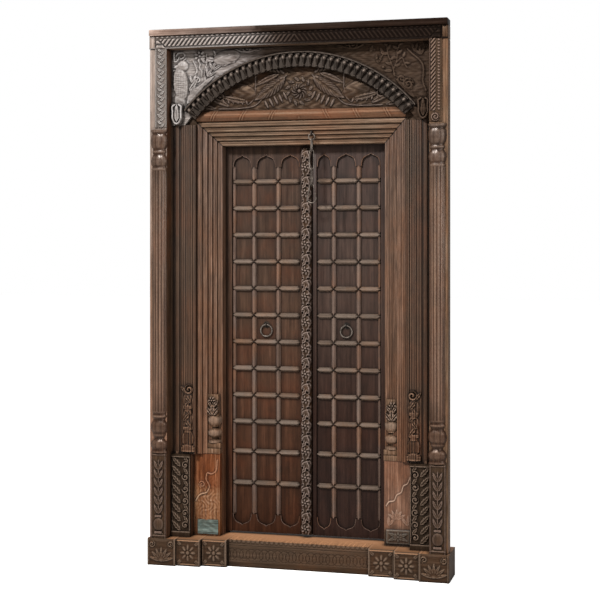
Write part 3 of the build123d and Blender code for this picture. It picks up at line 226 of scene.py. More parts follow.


# each finish: run of the grain, colours, share of warm and of rubbed wood with its painted highlight, dirt
# and painted shade in the hollows, roughness
wood = {
    # planed boards, steps and urns: mid brown, dark in the pores
    "teakPlaned": {"grain": "z", "dark": "2c1f17", "mid": "5c4736", "light": "866c5a", "warm": "6a4126",
                   "warmth": 0.5, "rubbed": "a08c7e", "rubAndHighlight": 0.75, "dirtAndShade": 0.9, "gloss": 0.46},
    # jambs: lighter and streaked, greyer towards the head, a dark line along the mitre
    "teakMoulded": {"grain": "z", "dark": "3a2a20", "mid": "624c3c", "light": "8a7262", "warm": "6e4629",
                    "warmth": 0.45, "rubbed": "a08c7e", "rubAndHighlight": 0.75, "dirtAndShade": 0.4, "gloss": 0.46,
                    "dirtAndShadeReach": 16, "mitre": (381, 1915, 3),
                    "sweep": ("z", 500, 2009, [(0.0, "f0d8c8"), (0.6, "f0e8e4"), (1.0, "dcdce0")])},
    # lintel and top rail: the same, with the grain lying across
    "teakMouldedLevel": {"grain": "x", "dark": "32261d", "mid": "604d3e", "light": "7c6858", "warm": "64402a",
                         "warmth": 0.45, "rubbed": "9c8878", "rubAndHighlight": 0.75, "dirtAndShade": 0.5, "gloss": 0.46,
                         "dirtAndShadeReach": 18, "mitre": (381, 1915, 3)},
    # reeded bands: dark brown, warmer at the foot
    "teakReeded": {"grain": "z", "dark": "241913", "mid": "34271d", "light": "4e3d2f", "warm": "5c3822",
                   "warmth": 0.5, "rubbed": "94806f", "rubAndHighlight": 0.8, "dirtAndShade": 0.92, "gloss": 0.46,
                   "sweep": ("z", 500, 2009, [(0.0, "f4dac8"), (0.5, "f0e2d8"), (1.0, "dcd6d2")])},
    # left post: bleached silver-grey, browner at the foot
    "teakWeathered": {"grain": "z", "dark": "6a5e56", "mid": "988a80", "light": "b4aaa4", "warm": "8c7c70",
                      "warmth": 0.25, "rubbed": "d0c2b8", "rubAndHighlight": 0.6, "dirtAndShade": 0.7, "shine": "f4f0ec",
                      "gloss": 0.5,
                      "sweep": ("z", 122, 2353, [(0.0, "d8ae96"), (0.5, "ccb09c"), (0.8, "d0c6c0"),
                                                 (1.0, "dcd6d2")])},
    # cap board: pale and bare at the left end, dark from there on; the change is partly painted light falling
    # off from the left
    "teakCapBleachedAndLit": {"grain": "x", "dark": "7c6a60", "mid": "a8968c", "light": "cabab2", "warm": "b08a70",
                        "warmth": 0.15, "rubbed": "d0c4bc", "rubAndHighlight": 0.7, "dirtAndShade": 0.7, "shine": "f4f0ec",
                        "gloss": 0.42,
                        "sweep": ("x", -690, 690, [(0.0, "f4eeea"), (0.08, "b0a6a0"), (0.2, "8a817c"),
                                                   (0.33, "6e6662"), (0.37, "3a322c"), (1.0, "342b26")])},
    # spandrels and brackets: dusty grey on the left, brown on the right; the change across is partly painted
    # light falling off from the left
    "teakCarvedGrey": {"grain": "x", "dark": "443c38", "mid": "7a726c", "light": "9a928c", "warm": "7c6c60",
                       "warmth": 0.3, "rubbed": "bab4b0", "rubAndHighlight": 0.95, "dirtAndShade": 0.92, "shine": "f4f0ec",
                       "gloss": 0.42, "dirtAndShadeReach": 16,
                       "sweep": ("x", -600, 600, [(0.0, "f4f4f4"), (0.2, "e4e0e0"), (0.38, "8c7e74"),
                                                  (0.6, "6e5e50"), (1.0, "6c5c50")])},
    # left frieze strip: grey tops over dark hollows
    "teakCarvedStrip": {"grain": "z", "dark": "2c2622", "mid": "544b45", "light": "746a64", "warm": "5c4c40",
                        "warmth": 0.3, "rubbed": "aaa29c", "rubAndHighlight": 0.9, "dirtAndShade": 0.95, "shine": "f4f0ec",
                        "gloss": 0.42, "dirtAndShadeReach": 12},
    # rope moulding: nearly black, with pale ridges on the left, where painted light falling off from the left
    # lightens it
    "teakCarvedRope": {"grain": "x", "dark": "120d0a", "mid": "2a211c", "light": "423730", "warm": "5a4636",
                       "warmth": 0.3, "rubbed": "b0a6a0", "rubAndHighlight": 0.95, "dirtAndShade": 0.95, "shine": "f4f0ec",
                       "gloss": 0.42, "dirtAndShadeReach": 12,
                       "sweep": ("x", -690, 690, [(0.0, "e8e4e0"), (0.3, "f0ecea"), (0.42, "746860"),
                                                  (0.52, "443a33"), (1.0, "3a302a")])},
    # tympanum: nearly black, darkened further as painted shade under the arch, brown on the tops
    "teakCarvedShadedBlack": {"grain": "x", "dark": "0c0806", "mid": "1b130e", "light": "2c211a", "warm": "402818",
                        "warmth": 0.45, "rubbed": "74665e", "rubAndHighlight": 0.9, "dirtAndShade": 0.97, "gloss": 0.42,
                        "dirtAndShadeReach": 22},
    # arch border and buds: black, with a waxy gleam and a painted highlight on the swells
    "teakTurnedSooty": {"grain": "z", "dark": "080504", "mid": "120d0a", "light": "201914", "warm": "281a11",
                        "warmth": 0.4, "rubbed": "7c6e64", "rubAndHighlight": 1.0, "dirtAndShade": 0.97, "shine": "f0dccb",
                        "gleam": 0.4, "gloss": 0.33, "dirtAndShadeReach": 24},
    # planks of the left leaf: reddish low down, greyer upwards
    "teakSawnWarm": {"grain": "z", "dark": "362820", "mid": "4b392c", "light": "604b3d", "warm": "603822",
                     "warmth": 0.55, "rubbed": "9a8676", "rubAndHighlight": 0.7, "dirtAndShade": 0.92, "gloss": 0.46,
                     "streak": 16,
                     "sweep": ("z", 131, 1939,
                               [(0.0, "b09080"), (0.3, "d0b2a2"), (0.6, "cec2ba"), (1.0, "b4b0b0")])},
    # planks of the right leaf: darker and duller, as painted shade on this leaf
    "teakSawnShaded": {"grain": "z", "dark": "271d18", "mid": "3a2c26", "light": "4b3c34", "warm": "4c2f22",
                     "warmth": 0.4, "rubbed": "84746a", "rubAndHighlight": 0.7, "dirtAndShade": 0.92, "gloss": 0.46, "streak": 16,
                     "sweep": ("z", 131, 1939,
                               [(0.0, "b0a09c"), (0.3, "b8a49c"), (0.6, "e4d8d0"), (1.0, "d0cac8")])},
    # inner sides of the posts: plain dark brown
    "teakPlanedDark": {"grain": "z", "dark": "241810", "mid": "422f22", "light": "604a39", "warm": "6a3e24",
                       "warmth": 0.5, "rubbed": "9a8474", "rubAndHighlight": 0.8, "dirtAndShade": 0.95, "gloss": 0.4,
                       "dirtAndShadeReach": 14},
    # half columns: waxed, with bright ridges, partly rubbed and partly painted highlight
    "teakTurned": {"grain": "z", "dark": "20150e", "mid": "433126", "light": "62503f", "warm": "64402a",
                   "warmth": 0.4, "rubbed": "a8988c", "rubAndHighlight": 0.9, "dirtAndShade": 0.95, "gleam": 0.7, "gloss": 0.28,
                   "dirtAndShadeReach": 14,
                   "sweep": ("z", 511, 1983,
                             [(0.0, "b09a8c"), (0.1, "b09a8c"), (0.2, "f0d8c8"), (0.8, "ecdcd0"),
                                              (0.9, "c0b4ac"), (1.0, "c0b4ac")])},
    # cross bars: grey-brown, with rubbed ridges that also carry a painted highlight
    "teakHippedLevel": {"grain": "x", "dark": "33281f", "mid": "52443a", "light": "6a5c53", "warm": "7a5030",
                        "warmth": 0.45, "rubbed": "807369", "rubAndHighlight": 0.7, "dirtAndShade": 0.55, "gloss": 0.42,
                        "dirtAndShadeReach": 16},
    # lattice uprights and arch lines: the same, a little redder
    "teakHippedUpright": {"grain": "z", "dark": "36261b", "mid": "52413a", "light": "685850",
                          "warm": "80502e", "warmth": 0.55, "rubbed": "786a60", "rubAndHighlight": 0.7, "dirtAndShade": 0.55,
                          "gloss": 0.44, "dirtAndShadeReach": 16},
    # cover strip: dark, with pale tops
    "teakCarvedCover": {"grain": "z", "dark": "140d09", "mid": "281d16", "light": "40332a", "warm": "5c3e28",
                        "warmth": 0.4, "rubbed": "907f76", "rubAndHighlight": 0.95, "dirtAndShade": 0.95, "gloss": 0.4,
                        "dirtAndShadeReach": 14},
    # band plinths: nearly black, with a low sheen
    "teakCarvedBlack": {"grain": "z", "dark": "0c0806", "mid": "20170f", "light": "34281f", "warm": "301f12",
                        "warmth": 0.4, "rubbed": "786658", "rubAndHighlight": 0.9, "dirtAndShade": 0.97, "gloss": 0.44,
                        "dirtAndShadeReach": 16},
    # pedestals and right frieze strip: dark brown
    "teakCarvedBrown": {"grain": "z", "dark": "160e09", "mid": "34261b", "light": "4a392c", "warm": "422818",
                        "warmth": 0.45, "rubbed": "78645a", "rubAndHighlight": 0.85, "dirtAndShade": 0.95, "gloss": 0.44,
                        "dirtAndShadeReach": 14},
    # ribbon bead: orange-brown where hands and cloths have rubbed it
    "teakRubbed": {"grain": "x", "dark": "1c110a", "mid": "46291a", "light": "66432c", "warm": "643620",
                   "warmth": 0.6, "rubbed": "8c705a", "rubAndHighlight": 0.6, "dirtAndShade": 0.9, "gloss": 0.42},
    # left jamb plinth: scraped down to the orange wood
    "teakScraped": {"grain": "z", "dark": "4c2c18", "mid": "7c5230", "light": "c8a482", "warm": "7a5238",
                    "warmth": 0.5, "rubbed": "c4aa92", "rubAndHighlight": 0.9, "dirtAndShade": 0.85, "gloss": 0.48,
                    "sweep": ("z", 122, 500,
                              [(0.0, "c0b0a0"), (0.22, "f4e8dc"), (0.5, "f0e2d6"), (0.62, "c8a492"),
                                              (1.0, "d0b0a0")])},
    # foot panel: flaking green-grey limewash on wood
    "limewashFlaked": {"grain": "x", "dark": "26302e", "mid": "4a5a56", "light": "7a8a84", "warm": "5e5240",
                       "warmth": 0.5, "rubbed": "a2aaa0", "rubAndHighlight": 0.8, "dirtAndShade": 0.85, "gloss": 0.5},
    # right jamb plinth: pale pinkish brown, greyed at the foot
    "teakScrapedPale": {"grain": "z", "dark": "4b362a", "mid": "6c4f3e", "light": "927664", "warm": "84583c",
                        "warmth": 0.5, "rubbed": "bca898", "rubAndHighlight": 0.9, "dirtAndShade": 0.85, "gloss": 0.46,
                        "sweep": ("z", 122, 500, [(0.0, "94a0a4"), (0.18, "9ca4a4"), (0.26, "f8ece4"),
                                                  (1.0, "ecd8cc")])},
    # sill: dark carved front, pale top from treading and from painted light from above
    "teakTrodden": {"grain": "x", "dark": "180f0a", "mid": "35271c", "light": "4e3c2f", "warm": "462a18",
                    "warmth": 0.45, "rubbed": "786556", "rubAndHighlight": 0.8, "dirtAndShade": 0.9, "gloss": 0.5,
                    "top": "c48e66"},
}
woods = {name: oldWood(name, spec) for name, spec in wood.items()}


# Wrought iron, forged by hand and blackened: small hammer marks and a brown bloom of rust.
def wroughtIron(name, scale, rubbed):
    material, tree, shader = newMaterial(name)
    place = addNode(tree, "TexCoord").outputs["Object"]
    hammer = addNode(tree, "TexNoise", {"Scale": 1 / (7 * mm), "Detail": 2}, {"Vector": place})
    rust = addNode(tree, "TexNoise", {"Scale": 1 / (15 * mm), "Detail": 4, "Roughness": 0.7},
                   {"Vector": place})
    ramp = addNode(tree, "ValToRGB", {"stops": [(0.42, scale), (0.68, rubbed)]}, {"Fac": rust.outputs[0]})
    tree.links.new(ramp.outputs[0], shader.inputs["Base Color"])
    shader.inputs["Metallic"].default_value = 0.75
    shader.inputs["Roughness"].default_value = 0.5
    bump = addNode(tree, "Bump", {"Strength": 0.6, "Distance": 0.8 * mm}, {"Height": hammer.outputs[0]})
    tree.links.new(bump.outputs[0], shader.inputs["Normal"])
    return material


iron = wroughtIron("wroughtIron", "191715", "443830")         # pulls and nails: black scale, a little rust
chainIron = wroughtIron("rubbedIron", "453d37", "857a70")     # chain: grey where hands have rubbed it
print("materials", len(woods) + 2)


# pieces: each new mesh takes its place from the frame, rides on a body and may stand for a node
def placePiece(name, mesh, material, body="frame", stands=(), slot="frame_wood", smooth=40):
    piece = bpy.data.objects.new(name, mesh)
    bpy.context.scene.collection.objects.link(piece)
    mesh.materials.append(material)
    mesh.shade_smooth()
    mesh.set_sharp_from_angle(angle=radians(smooth))
    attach(piece, body)
    if stands:
        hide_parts(*stands)
    return piece


def toMesh(name, bm):
    mesh = bpy.data.meshes.new(name)
    bm.normal_update()
    bm.to_mesh(mesh)
    bm.free()
    return mesh


def bevelEdges(bm, edges, width, segments=2):
    bmesh.ops.bevel(bm, geom=edges, offset=width * mm, offset_type="OFFSET", segments=segments, profile=0.5,
                    affect="EDGES", material=-1, clamp_overlap=True)


def prism(bm, outline, shift):
    face = bm.faces.new([bm.verts.new(corner) for corner in outline])
    grown = bmesh.ops.extrude_face_region(bm, geom=[face])
    verts = [item for item in grown["geom"] if isinstance(item, bmesh.types.BMVert)]
    bmesh.ops.translate(bm, verts=verts, vec=shift)
    bmesh.ops.recalc_face_normals(bm, faces=bm.faces)


def bridgeUp(bm, loops, closed=False):
    # each loop of edges is bridged to the next; the ends are filled unless the last loop meets the first
    for lower, upper in zip(loops, loops[1:] + (loops[:1] if closed else [])):
        bmesh.ops.bridge_loops(bm, edges=lower + upper)
    if not closed:
        bmesh.ops.edgeloop_fill(bm, edges=loops[0] + loops[-1])


def board(name, corners, material, edge=2.5, **how):
    low, high = corners
    bm = bmesh.new()
    prism(bm, [(low.x, low.y, low.z), (high.x, low.y, low.z), (high.x, high.y, low.z),
               (low.x, high.y, low.z)], (0, 0, high.z - low.z))
    bevelEdges(bm, bm.edges[:], edge)
    return placePiece(name, toMesh(name, bm), material, **how)


def drill(mesh, places, radius, low, high):
    # round sockets for the door pivots
    bm = bmesh.new()
    for x, depth in places:
        bmesh.ops.create_cone(bm, cap_ends=True, segments=40, radius1=radius * mm, radius2=radius * mm,
                              depth=(high - low) * mm,
                              matrix=Matrix.Translation(spot(x, depth, (low + high) / 2)))
    cutter = bpy.data.objects.new("socketCutter", toMesh("socketCutter", bm))
    blank = bpy.data.objects.new("socketBlank", mesh)
    for item in (cutter, blank):
        bpy.context.scene.collection.objects.link(item)
    cut = blank.modifiers.new("socket", "BOOLEAN")
    cut.operation, cut.object, cut.solver = "DIFFERENCE", cutter, "EXACT"
    drilled = bpy.data.meshes.new_from_object(blank.evaluated_get(bpy.context.evaluated_depsgraph_get()))
    for item in (cutter, blank):
        bpy.data.objects.remove(item)
    return drilled


sides = {-1: "left", 1: "right"}
pivots = {"x": 383, "depth": 214, "radius": 14.06, "sillFloor": 100.7, "lintelRoof": 1980}

# plain boards, with their edges softened by wear
plainBoards = {"left_post": ("teakWeathered", 3), "right_post": ("teakPlaned", 3),
               "cap_board": ("teakCapBleachedAndLit", 4), "top_rail": ("teakMouldedLevel", 2),
               "left_meeting_stile": ("teakSawnWarm", 2), "right_meeting_stile": ("teakSawnShaded", 2)}
for node, (finish, edge) in plainBoards.items():
    body = nodes[node]["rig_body"]
    piece = board(node + "_worn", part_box(node), woods[finish], edge, body=body, stands=[node],
                  slot="frame_wood" if body == "frame" else "leaf_wood")
    if node.endswith("_post"):                          # browner on the side towards the doorway
        piece.data.materials.append(woods["teakPlanedDark"])
        for face in piece.data.polygons:
            face.material_index = int(face.normal.x * piece.data.vertices[face.vertices[0]].co.x < -0.3)
print("boards", len(plainBoards))


# stepped and reeded moulding of the jambs and the lintel, mitred at the corners
moulding = {"edges": (107, 85, 62, 43, 24, 0), "front": 87, "step": 12, "round": 3.5, "rebate": (30, 188),
            "back": 262, "halfWidth": 381, "head": 1915, "foot": 122, "plinthHead": 500, "plinthBack": 135}


def mouldingOutline(low=False):
    # each step carries two round reeds with a groove between them
    edges, (rebate, inner) = moulding["edges"], moulding["rebate"]
    outline = [(edges[0], moulding["plinthBack"]), (0, moulding["plinthBack"])] if low else []
    for index, outer in enumerate(edges[:-1] if not low else ()):
        depth, width = moulding["front"] + index * moulding["step"], outer - edges[index + 1]
        for start, share in ((0, 0.62), (0.62, 0.38)):
            for k in range(7):
                across = outer - width * (start + share * (0.04 + 0.92 * k / 6))
                outline.append((across, depth + moulding["round"] * share * (1 - sin(pi * k / 6) ** 0.6)))
    return outline + [(0, inner), (rebate, inner), (rebate, moulding["back"]), (edges[0], moulding["back"])]


def cutOff(bm, place, normal):
    bmesh.ops.bisect_plane(bm, geom=bm.verts[:] + bm.edges[:] + bm.faces[:], dist=1e-6, plane_co=place,
                           plane_no=normal, clear_outer=True)
    bmesh.ops.edgeloop_fill(bm, edges=[edge for edge in bm.edges if edge.is_boundary])


def jamb(side):
    half, head = moulding["halfWidth"], moulding["head"]
    bm = bmesh.new()
    outline = [spot(side * (half + across), depth, moulding["plinthHead"])
               for across, depth in mouldingOutline()]
    prism(bm, outline, (0, 0, (head + moulding["edges"][0] - moulding["plinthHead"]) * mm))
    cutOff(bm, spot(side * half, 0, head), Vector((-side, 0, 1)))
    outline = [spot(side * (half + across), depth, moulding["foot"])
               for across, depth in mouldingOutline(True)]
    prism(bm, outline, (0, 0, (moulding["plinthHead"] - moulding["foot"]) * mm))
    name = sides[side] + "_jamb"
    placePiece(name + "_moulded", toMesh(name, bm), woods["teakMoulded"], stands=[name])


def lintel():
    bm = bmesh.new()
    reach = moulding["halfWidth"] + moulding["edges"][0]
    outline = [spot(-reach, depth, moulding["head"] + across) for across, depth in mouldingOutline()]
    prism(bm, outline, (2 * reach * mm, 0, 0))
    for side in (-1, 1):
        cutOff(bm, spot(side * moulding["halfWidth"], 0, moulding["head"]), Vector((side, 0, -1)))
    sockets = [(side * pivots["x"], pivots["depth"]) for side in (-1, 1)]
    mesh = drill(toMesh("lintel", bm), sockets, pivots["radius"], moulding["head"], pivots["lintelRoof"])
    placePiece("lintel_moulded", mesh, woods["teakMouldedLevel"], stands=["lintel"])


for side in sides:
    jamb(side)
lintel()
print("mouldings")


# carving strokes: each gives heights in millimetres over the points of a sheet
def turned(x, z, centre, turn):
    run, rise = cos(radians(turn)), sin(radians(turn))
    return (x - centre[0]) * run + (z - centre[1]) * rise, (z - centre[1]) * run - (x - centre[0]) * rise


def dome(x, z, centre, radii, rise, turn=0):
    along, across = turned(x, z, centre, turn)
    return rise * np.sqrt(np.clip(1 - (along / radii[0]) ** 2 - (across / radii[1]) ** 2, 0, None))


def leaf(x, z, foot, turn, length, width, rise, bend=0.0, vein=0.55, ribs=0):
    along, across = turned(x, z, foot, turn)
    share = np.clip(along / length, 0, 1)
    across = across - bend * length * share**2
    half = width / 2 * np.sin(pi * share**0.8) ** 0.8 + 1e-6
    off = np.abs(across) / half
    body = np.sqrt(np.clip(1 - off**2, 0, None))
    groove = vein * np.exp(-((across / (0.1 * width)) ** 2))
    ribbing = 0.28 * np.cos(2 * pi * ribs * (share - 0.3 * off)) * off if ribs else 0
    return np.where((along > 0) & (along < length), rise * body * (1 - groove + ribbing), 0)


def flower(x, z, centre, radius, petals, rise, twist=0.0):
    dx, dz = x - centre[0], z - centre[1]
    out = np.hypot(dx, dz) / radius
    wave = 0.5 + 0.5 * np.cos(petals * (np.arctan2(dz, dx) + twist * out))
    petal = np.clip(1 - (out / (0.74 + 0.26 * wave)) ** 4, 0, None) * (0.3 + 0.7 * wave)
    petal *= np.clip((out - 0.26) / 0.14, 0, 1)
    heart = np.sqrt(np.clip(1 - (out / 0.26) ** 2, 0, None))
    return rise * np.maximum(petal, heart)


def scroll(x, z, centre, radius, turns, rise, start=0.0, hand=1):
    dx, dz = x - centre[0], z - centre[1]
    out = np.hypot(dx, dz) / radius
    lap = out * turns - hand * (np.arctan2(dz, dx) - radians(start)) / (2 * pi)
    off = 2 * np.abs(lap - np.round(lap))
    return np.where(out < 1, rise * np.sqrt(np.clip(1 - (off / 0.7) ** 2, 0, None)), 0)


def stem(x, z, points, width, rise):
    # a rounded line through the points
    knots = np.array(points, float)
    steps = np.linspace(0, len(knots) - 1, 8 * (len(knots) - 1) + 1)
    path = np.stack([np.interp(steps, range(len(knots)), knots[:, k]) for k in (0, 1)], 1)
    for _ in range(6):
        path[1:-1] = (path[:-2] + 2 * path[1:-1] + path[2:]) / 4
    nearest = np.full(x.shape, 1e9)
    for (ax, az), (bx, bz) in zip(path, path[1:]):
        run, rise2 = bx - ax, bz - az
        share = np.clip(((x - ax) * run + (z - az) * rise2) / (run**2 + rise2**2 + 1e-9), 0, 1)
        nearest = np.minimum(nearest, (x - ax - share * run) ** 2 + (z - az - share * rise2) ** 2)
    return rise * np.sqrt(np.clip(1 - nearest / (width / 2) ** 2, 0, None))


def spray(x, z, foot, turns, length, width, rise, **how):
    return highest(leaf(x, z, foot, turn, length, width, rise, **how) for turn in turns)


def highest(fields):
    total = 0
    for field in fields:
        total = np.maximum(total, field)
    return total


def soften(field, reach):
    for axis in (0, 1):
        pads = [(reach + 1, reach) if k == axis else (0, 0) for k in (0, 1)]
        running = np.cumsum(np.pad(field, pads, mode="edge"), axis=axis)
        ahead = np.take(running, range(2 * reach + 1, running.shape[axis]), axis=axis)
        behind = np.take(running, range(0, running.shape[axis] - 2 * reach - 1), axis=axis)
        field = (ahead - behind) / (2 * reach + 1)
    return field


def lines(*runs):
    # places of the sheet's lines: (start, end, step), with a tiny gap where the front steps
    parts = [np.linspace(low, high, max(2, int(round((high - low) / step)) + 1)) for low, high, step in runs]
    return np.concatenate(parts)


def carve(name, across, up, shape, strokes, material, crest=2.5, reach=3, warp=None, **how):
    # a closed sheet: front pushed out by the strokes, flat sides, plain back
    across, up = np.asarray(across, float), np.asarray(up, float)
    bm = bmesh.new()
    bmesh.ops.create_grid(bm, x_segments=len(across) - 1, y_segments=len(up) - 1, size=0.5)
    grown = bmesh.ops.extrude_edge_only(bm, edges=[edge for edge in bm.edges if edge.is_boundary])
    backVerts = [item for item in grown["geom"] if isinstance(item, bmesh.types.BMVert)]
    bmesh.ops.translate(bm, verts=backVerts, vec=(0, 0, -1))
    bmesh.ops.edgeloop_fill(bm, edges=[edge for edge in bm.edges if edge.is_boundary])
    bmesh.ops.recalc_face_normals(bm, faces=bm.faces)
    mesh = toMesh(name, bm)
    place = np.empty(3 * len(mesh.vertices), np.float32)
    mesh.vertices.foreach_get("co", place)
    place = place.reshape(-1, 3)
    column = np.rint((place[:, 0] + 0.5) * (len(across) - 1)).astype(int)
    row = np.rint((place[:, 1] + 0.5) * (len(up) - 1)).astype(int)
    atBack = place[:, 2] < -0.5
    x, z = np.meshgrid(across, up)
    if warp:
        x, z = warp(x, z)
    front, back = shape(x, z)
    height = strokes(x, z) + 0 * x
    depth = front - height
    # pale crests and dark hollows from the depth: worn is rubbed wear with a painted highlight, sunk is dirt
    # with painted shade
    swell = soften(depth, reach) - depth
    worn, sunk = np.clip(swell / crest, 0, 1), np.clip(-swell / crest, 0, 1)
    deep = np.where(atBack, (back + 0 * x)[row, column], depth[row, column])
    moved = np.stack([x[row, column] * mm, (deep - depthCentre) * mm, z[row, column] * mm], 1)
    mesh.vertices.foreach_set("co", moved.astype(np.float32).ravel())
    for label, field in (("worn", worn), ("sunk", sunk)):
        stored = mesh.attributes.new(label, "FLOAT", "POINT")
        stored.data.foreach_set("value", np.where(atBack, 0, field[row, column]).astype(np.float32))
    mesh.update()
    return placePiece(name, mesh, material, smooth=how.pop("smooth", 60), **how)


def onSide(strokes, side):
    # drawn for the right side, mirrored for the left
    return strokes if side > 0 else lambda x, z: strokes(-x, z)


def flatSheet(piece, side, step, upStep):
    # lines and plain front of a sheet on one side of the door
    low, high = sorted((side * piece["low"], side * piece["high"]))
    return (lines((low, high, step)), lines((piece["foot"], piece["head"], upStep)),
            lambda x, z: (piece["front"] + 0 * x, piece["back"]))


# arched panel with the two spandrels
archPanel = {"half": 664, "low": 2009, "high": 2411, "front": 64, "back": 84, "radius": 659.58,
             "centre": 1627.42, "step": 3, "carvedHalf": 603, "carvedHead": 2353}


def archFoot(x):
    inside = np.abs(x) < np.sqrt(archPanel["radius"] ** 2 - (archPanel["low"] - archPanel["centre"]) ** 2)
    return np.where(inside, archPanel["centre"] + np.sqrt(np.clip(archPanel["radius"] ** 2 - x**2, 0, None)),
                    archPanel["low"])


def archWarp(x, z):
    foot = archFoot(x)
    share = (z - archPanel["low"]) / (archPanel["high"] - archPanel["low"])
    return x, foot + share * (archPanel["high"] - foot)


def leftSpandrel(x, z):
    feathers = 1 + 0.17 * np.cos(2 * pi * (x + z) / 17) * np.cos(2 * pi * (x - z) / 17)
    body = dome(x, z, (-558, 2200), (80, 36), 14, 96) * feathers
    parts = [body, dome(x, z, (-562, 2122), (36, 27), 9, 95), dome(x, z, (-548, 2280), (28, 25), 11),
             dome(x, z, (-551, 2284), (6, 6), 14), leaf(x, z, (-566, 2282), 200, 30, 16, 8, vein=0),
             leaf(x, z, (-545, 2258), 250, 36, 30, 11, vein=0),
             stem(x, z, [(-592, 2342), (-590, 2300), (-577, 2300), (-566, 2322)], 7, 5),
             stem(x, z, [(-582, 2326), (-570, 2342), (-546, 2341), (-537, 2328), (-546, 2317), (-562, 2312)],
                  7, 5),
             stem(x, z, [(-536, 2312), (-556, 2296), (-568, 2284)], 6, 4),
             leaf(x, z, (-519, 2163), 47, 74, 22, 8, bend=0.1, ribs=5),
             leaf(x, z, (-512, 2150), 60, 60, 16, 7, ribs=4),
             leaf(x, z, (-527, 2106), 51, 128, 44, 7, bend=-0.06, vein=0.12),
             leaf(x, z, (-468, 2178), 36, 90, 24, 6, vein=0.2),
             stem(x, z, [(-498, 2300), (-484, 2276), (-478, 2250), (-490, 2240)], 7, 5),
             stem(x, z, [(-470, 2296), (-462, 2286), (-470, 2268), (-456, 2256), (-458, 2230)], 7, 5),
             stem(x, z, [(-440, 2210), (-444, 2250), (-430, 2296), (-436, 2330)], 6, 5),
             flower(x, z, (-466, 2322), 30, 7, 9), scroll(x, z, (-478, 2212), 18, 1.6, 5),
             dome(x, z, (-338, 2312), (66, 34), 13, 12), dome(x, z, (-322, 2324), (9, 9), 14),
             stem(x, z, [(-398, 2344), (-380, 2306), (-346, 2286), (-300, 2290)], 8, 6),
             leaf(x, z, (-396, 2300), 165, 44, 30, 8, ribs=3), scroll(x, z, (-238, 2352), 24, 1.8, 6, 40, -1),
             stem(x, z, [(-300, 2352), (-268, 2336), (-230, 2332), (-190, 2346)], 8, 6)]
    parts += [spray(x, z, foot, turns, 46, 15, 7, ribs=4) for foot, turns in (
        ((-428, 2226), (30, 62, 96)), ((-404, 2256), (28, 70, 110)), ((-440, 2288), (50, 120)),
        ((-500, 2196), (70, 110)), ((-360, 2274), (20, 160)), ((-210, 2340), (8, 52, 150)),
        ((-130, 2350), (12, 168, 60)), ((-60, 2352), (10, 170)))]
    parts += [dome(x, z, (px, pz), (5, 5), 6) for px, pz in (
        (-592, 2260), (-590, 2236), (-592, 2200), (-590, 2172), (-484, 2318), (-444, 2312), (-418, 2302),
        (-394, 2322))]
    return highest(parts)


def rightSpandrel(x, z):
    parts = [stem(x, z, [(496, 2322), (519, 2298), (549, 2274), (564, 2254), (570, 2222), (564, 2174),
                         (580, 2136)], 9, 7),
             dome(x, z, (548, 2136), (34, 30), 6), dome(x, z, (560, 2118), (24, 26), 7),
             stem(x, z, [(520, 2164), (514, 2140), (524, 2112)], 6, 5),
             scroll(x, z, (500, 2166), 27, 1.9, 7, 0, -1), scroll(x, z, (470, 2190), 20, 1.6, 6, 90),
             stem(x, z, [(436, 2205), (470, 2196), (500, 2190), (520, 2172)], 6, 5),
             flower(x, z, (576, 2336), 14, 7, 5), dome(x, z, (388, 2244), (7, 7), 7),
             dome(x, z, (438, 2212), (7, 7), 7), leaf(x, z, (330, 2312), 70, 34, 15, 6),
             leaf(x, z, (352, 2322), 160, 30, 13, 5), scroll(x, z, (250, 2350), 24, 1.8, 6, 140),
             stem(x, z, [(300, 2348), (262, 2330), (220, 2336), (180, 2350)], 8, 6)]
    parts += [stem(x, z, path, 7, 5) for path in (
        [(438, 2206), (430, 2250), (408, 2300), (404, 2344)],
        [(434, 2232), (452, 2276), (450, 2316), (462, 2346)],
        [(446, 2262), (474, 2288), (484, 2256), (494, 2240)])]
    leaves = ((428, 2252, 150, 34, 17), (420, 2276, 28, 30, 15), (410, 2300, 160, 36, 18),
              (406, 2320, 50, 28, 15), (404, 2338, 120, 26, 14), (440, 2246, 15, 30, 14),
              (450, 2280, 148, 26, 14), (451, 2300, 30, 32, 16), (452, 2322, 140, 28, 15),
              (460, 2338, 40, 26, 14), (476, 2284, 60, 30, 15), (484, 2262, -20, 28, 14),
              (430, 2226, 170, 40, 18), (388, 2296, 100, 38, 16))
    parts += [leaf(x, z, (px, pz), turn, length, width, 7, bend=0.15, vein=0.3)
              for px, pz, turn, length, width in leaves]
    parts += [spray(x, z, foot, turns, 44, 14, 7, ribs=4) for foot, turns in (
        ((558, 2292), (70, 105, 140)), ((530, 2306), (75, 110)), ((364, 2262), (60, 100)),
        ((470, 2150), (20, 60)), ((210, 2340), (172, 128, 30)), ((130, 2350), (168, 12, 120)),
        ((486, 2128), (40, 88)))]
    parts.append(leaf(x, z, (527, 2106), 131, 120, 30, 6, bend=0.06, vein=0.2))
    return highest(parts)


def spandrels(x, z):
    carved = np.where(x < 0, leftSpandrel(x, z), rightSpandrel(x, z))
    chips = 0.7 * np.sin(x / 7.3 + 2 * np.sin(z / 9.1)) * np.sin(z / 6.1)
    inside = np.clip((archPanel["carvedHalf"] - np.abs(x)) / 6, 0, 1)
    inside *= np.clip((archPanel["carvedHead"] - z) / 6, 0, 1)
    return (carved + chips) * inside


half, step = archPanel["half"], archPanel["step"]
carve("arch_panel_carved", lines((-half, half, step)), lines((archPanel["low"], archPanel["high"], step)),
      lambda x, z: (archPanel["front"] + 0 * x, archPanel["back"]), spandrels, woods["teakCarvedGrey"],
      crest=2.8, warp=archWarp, stands=["arch_panel"], slot="carved_wood")
print("arch panel")

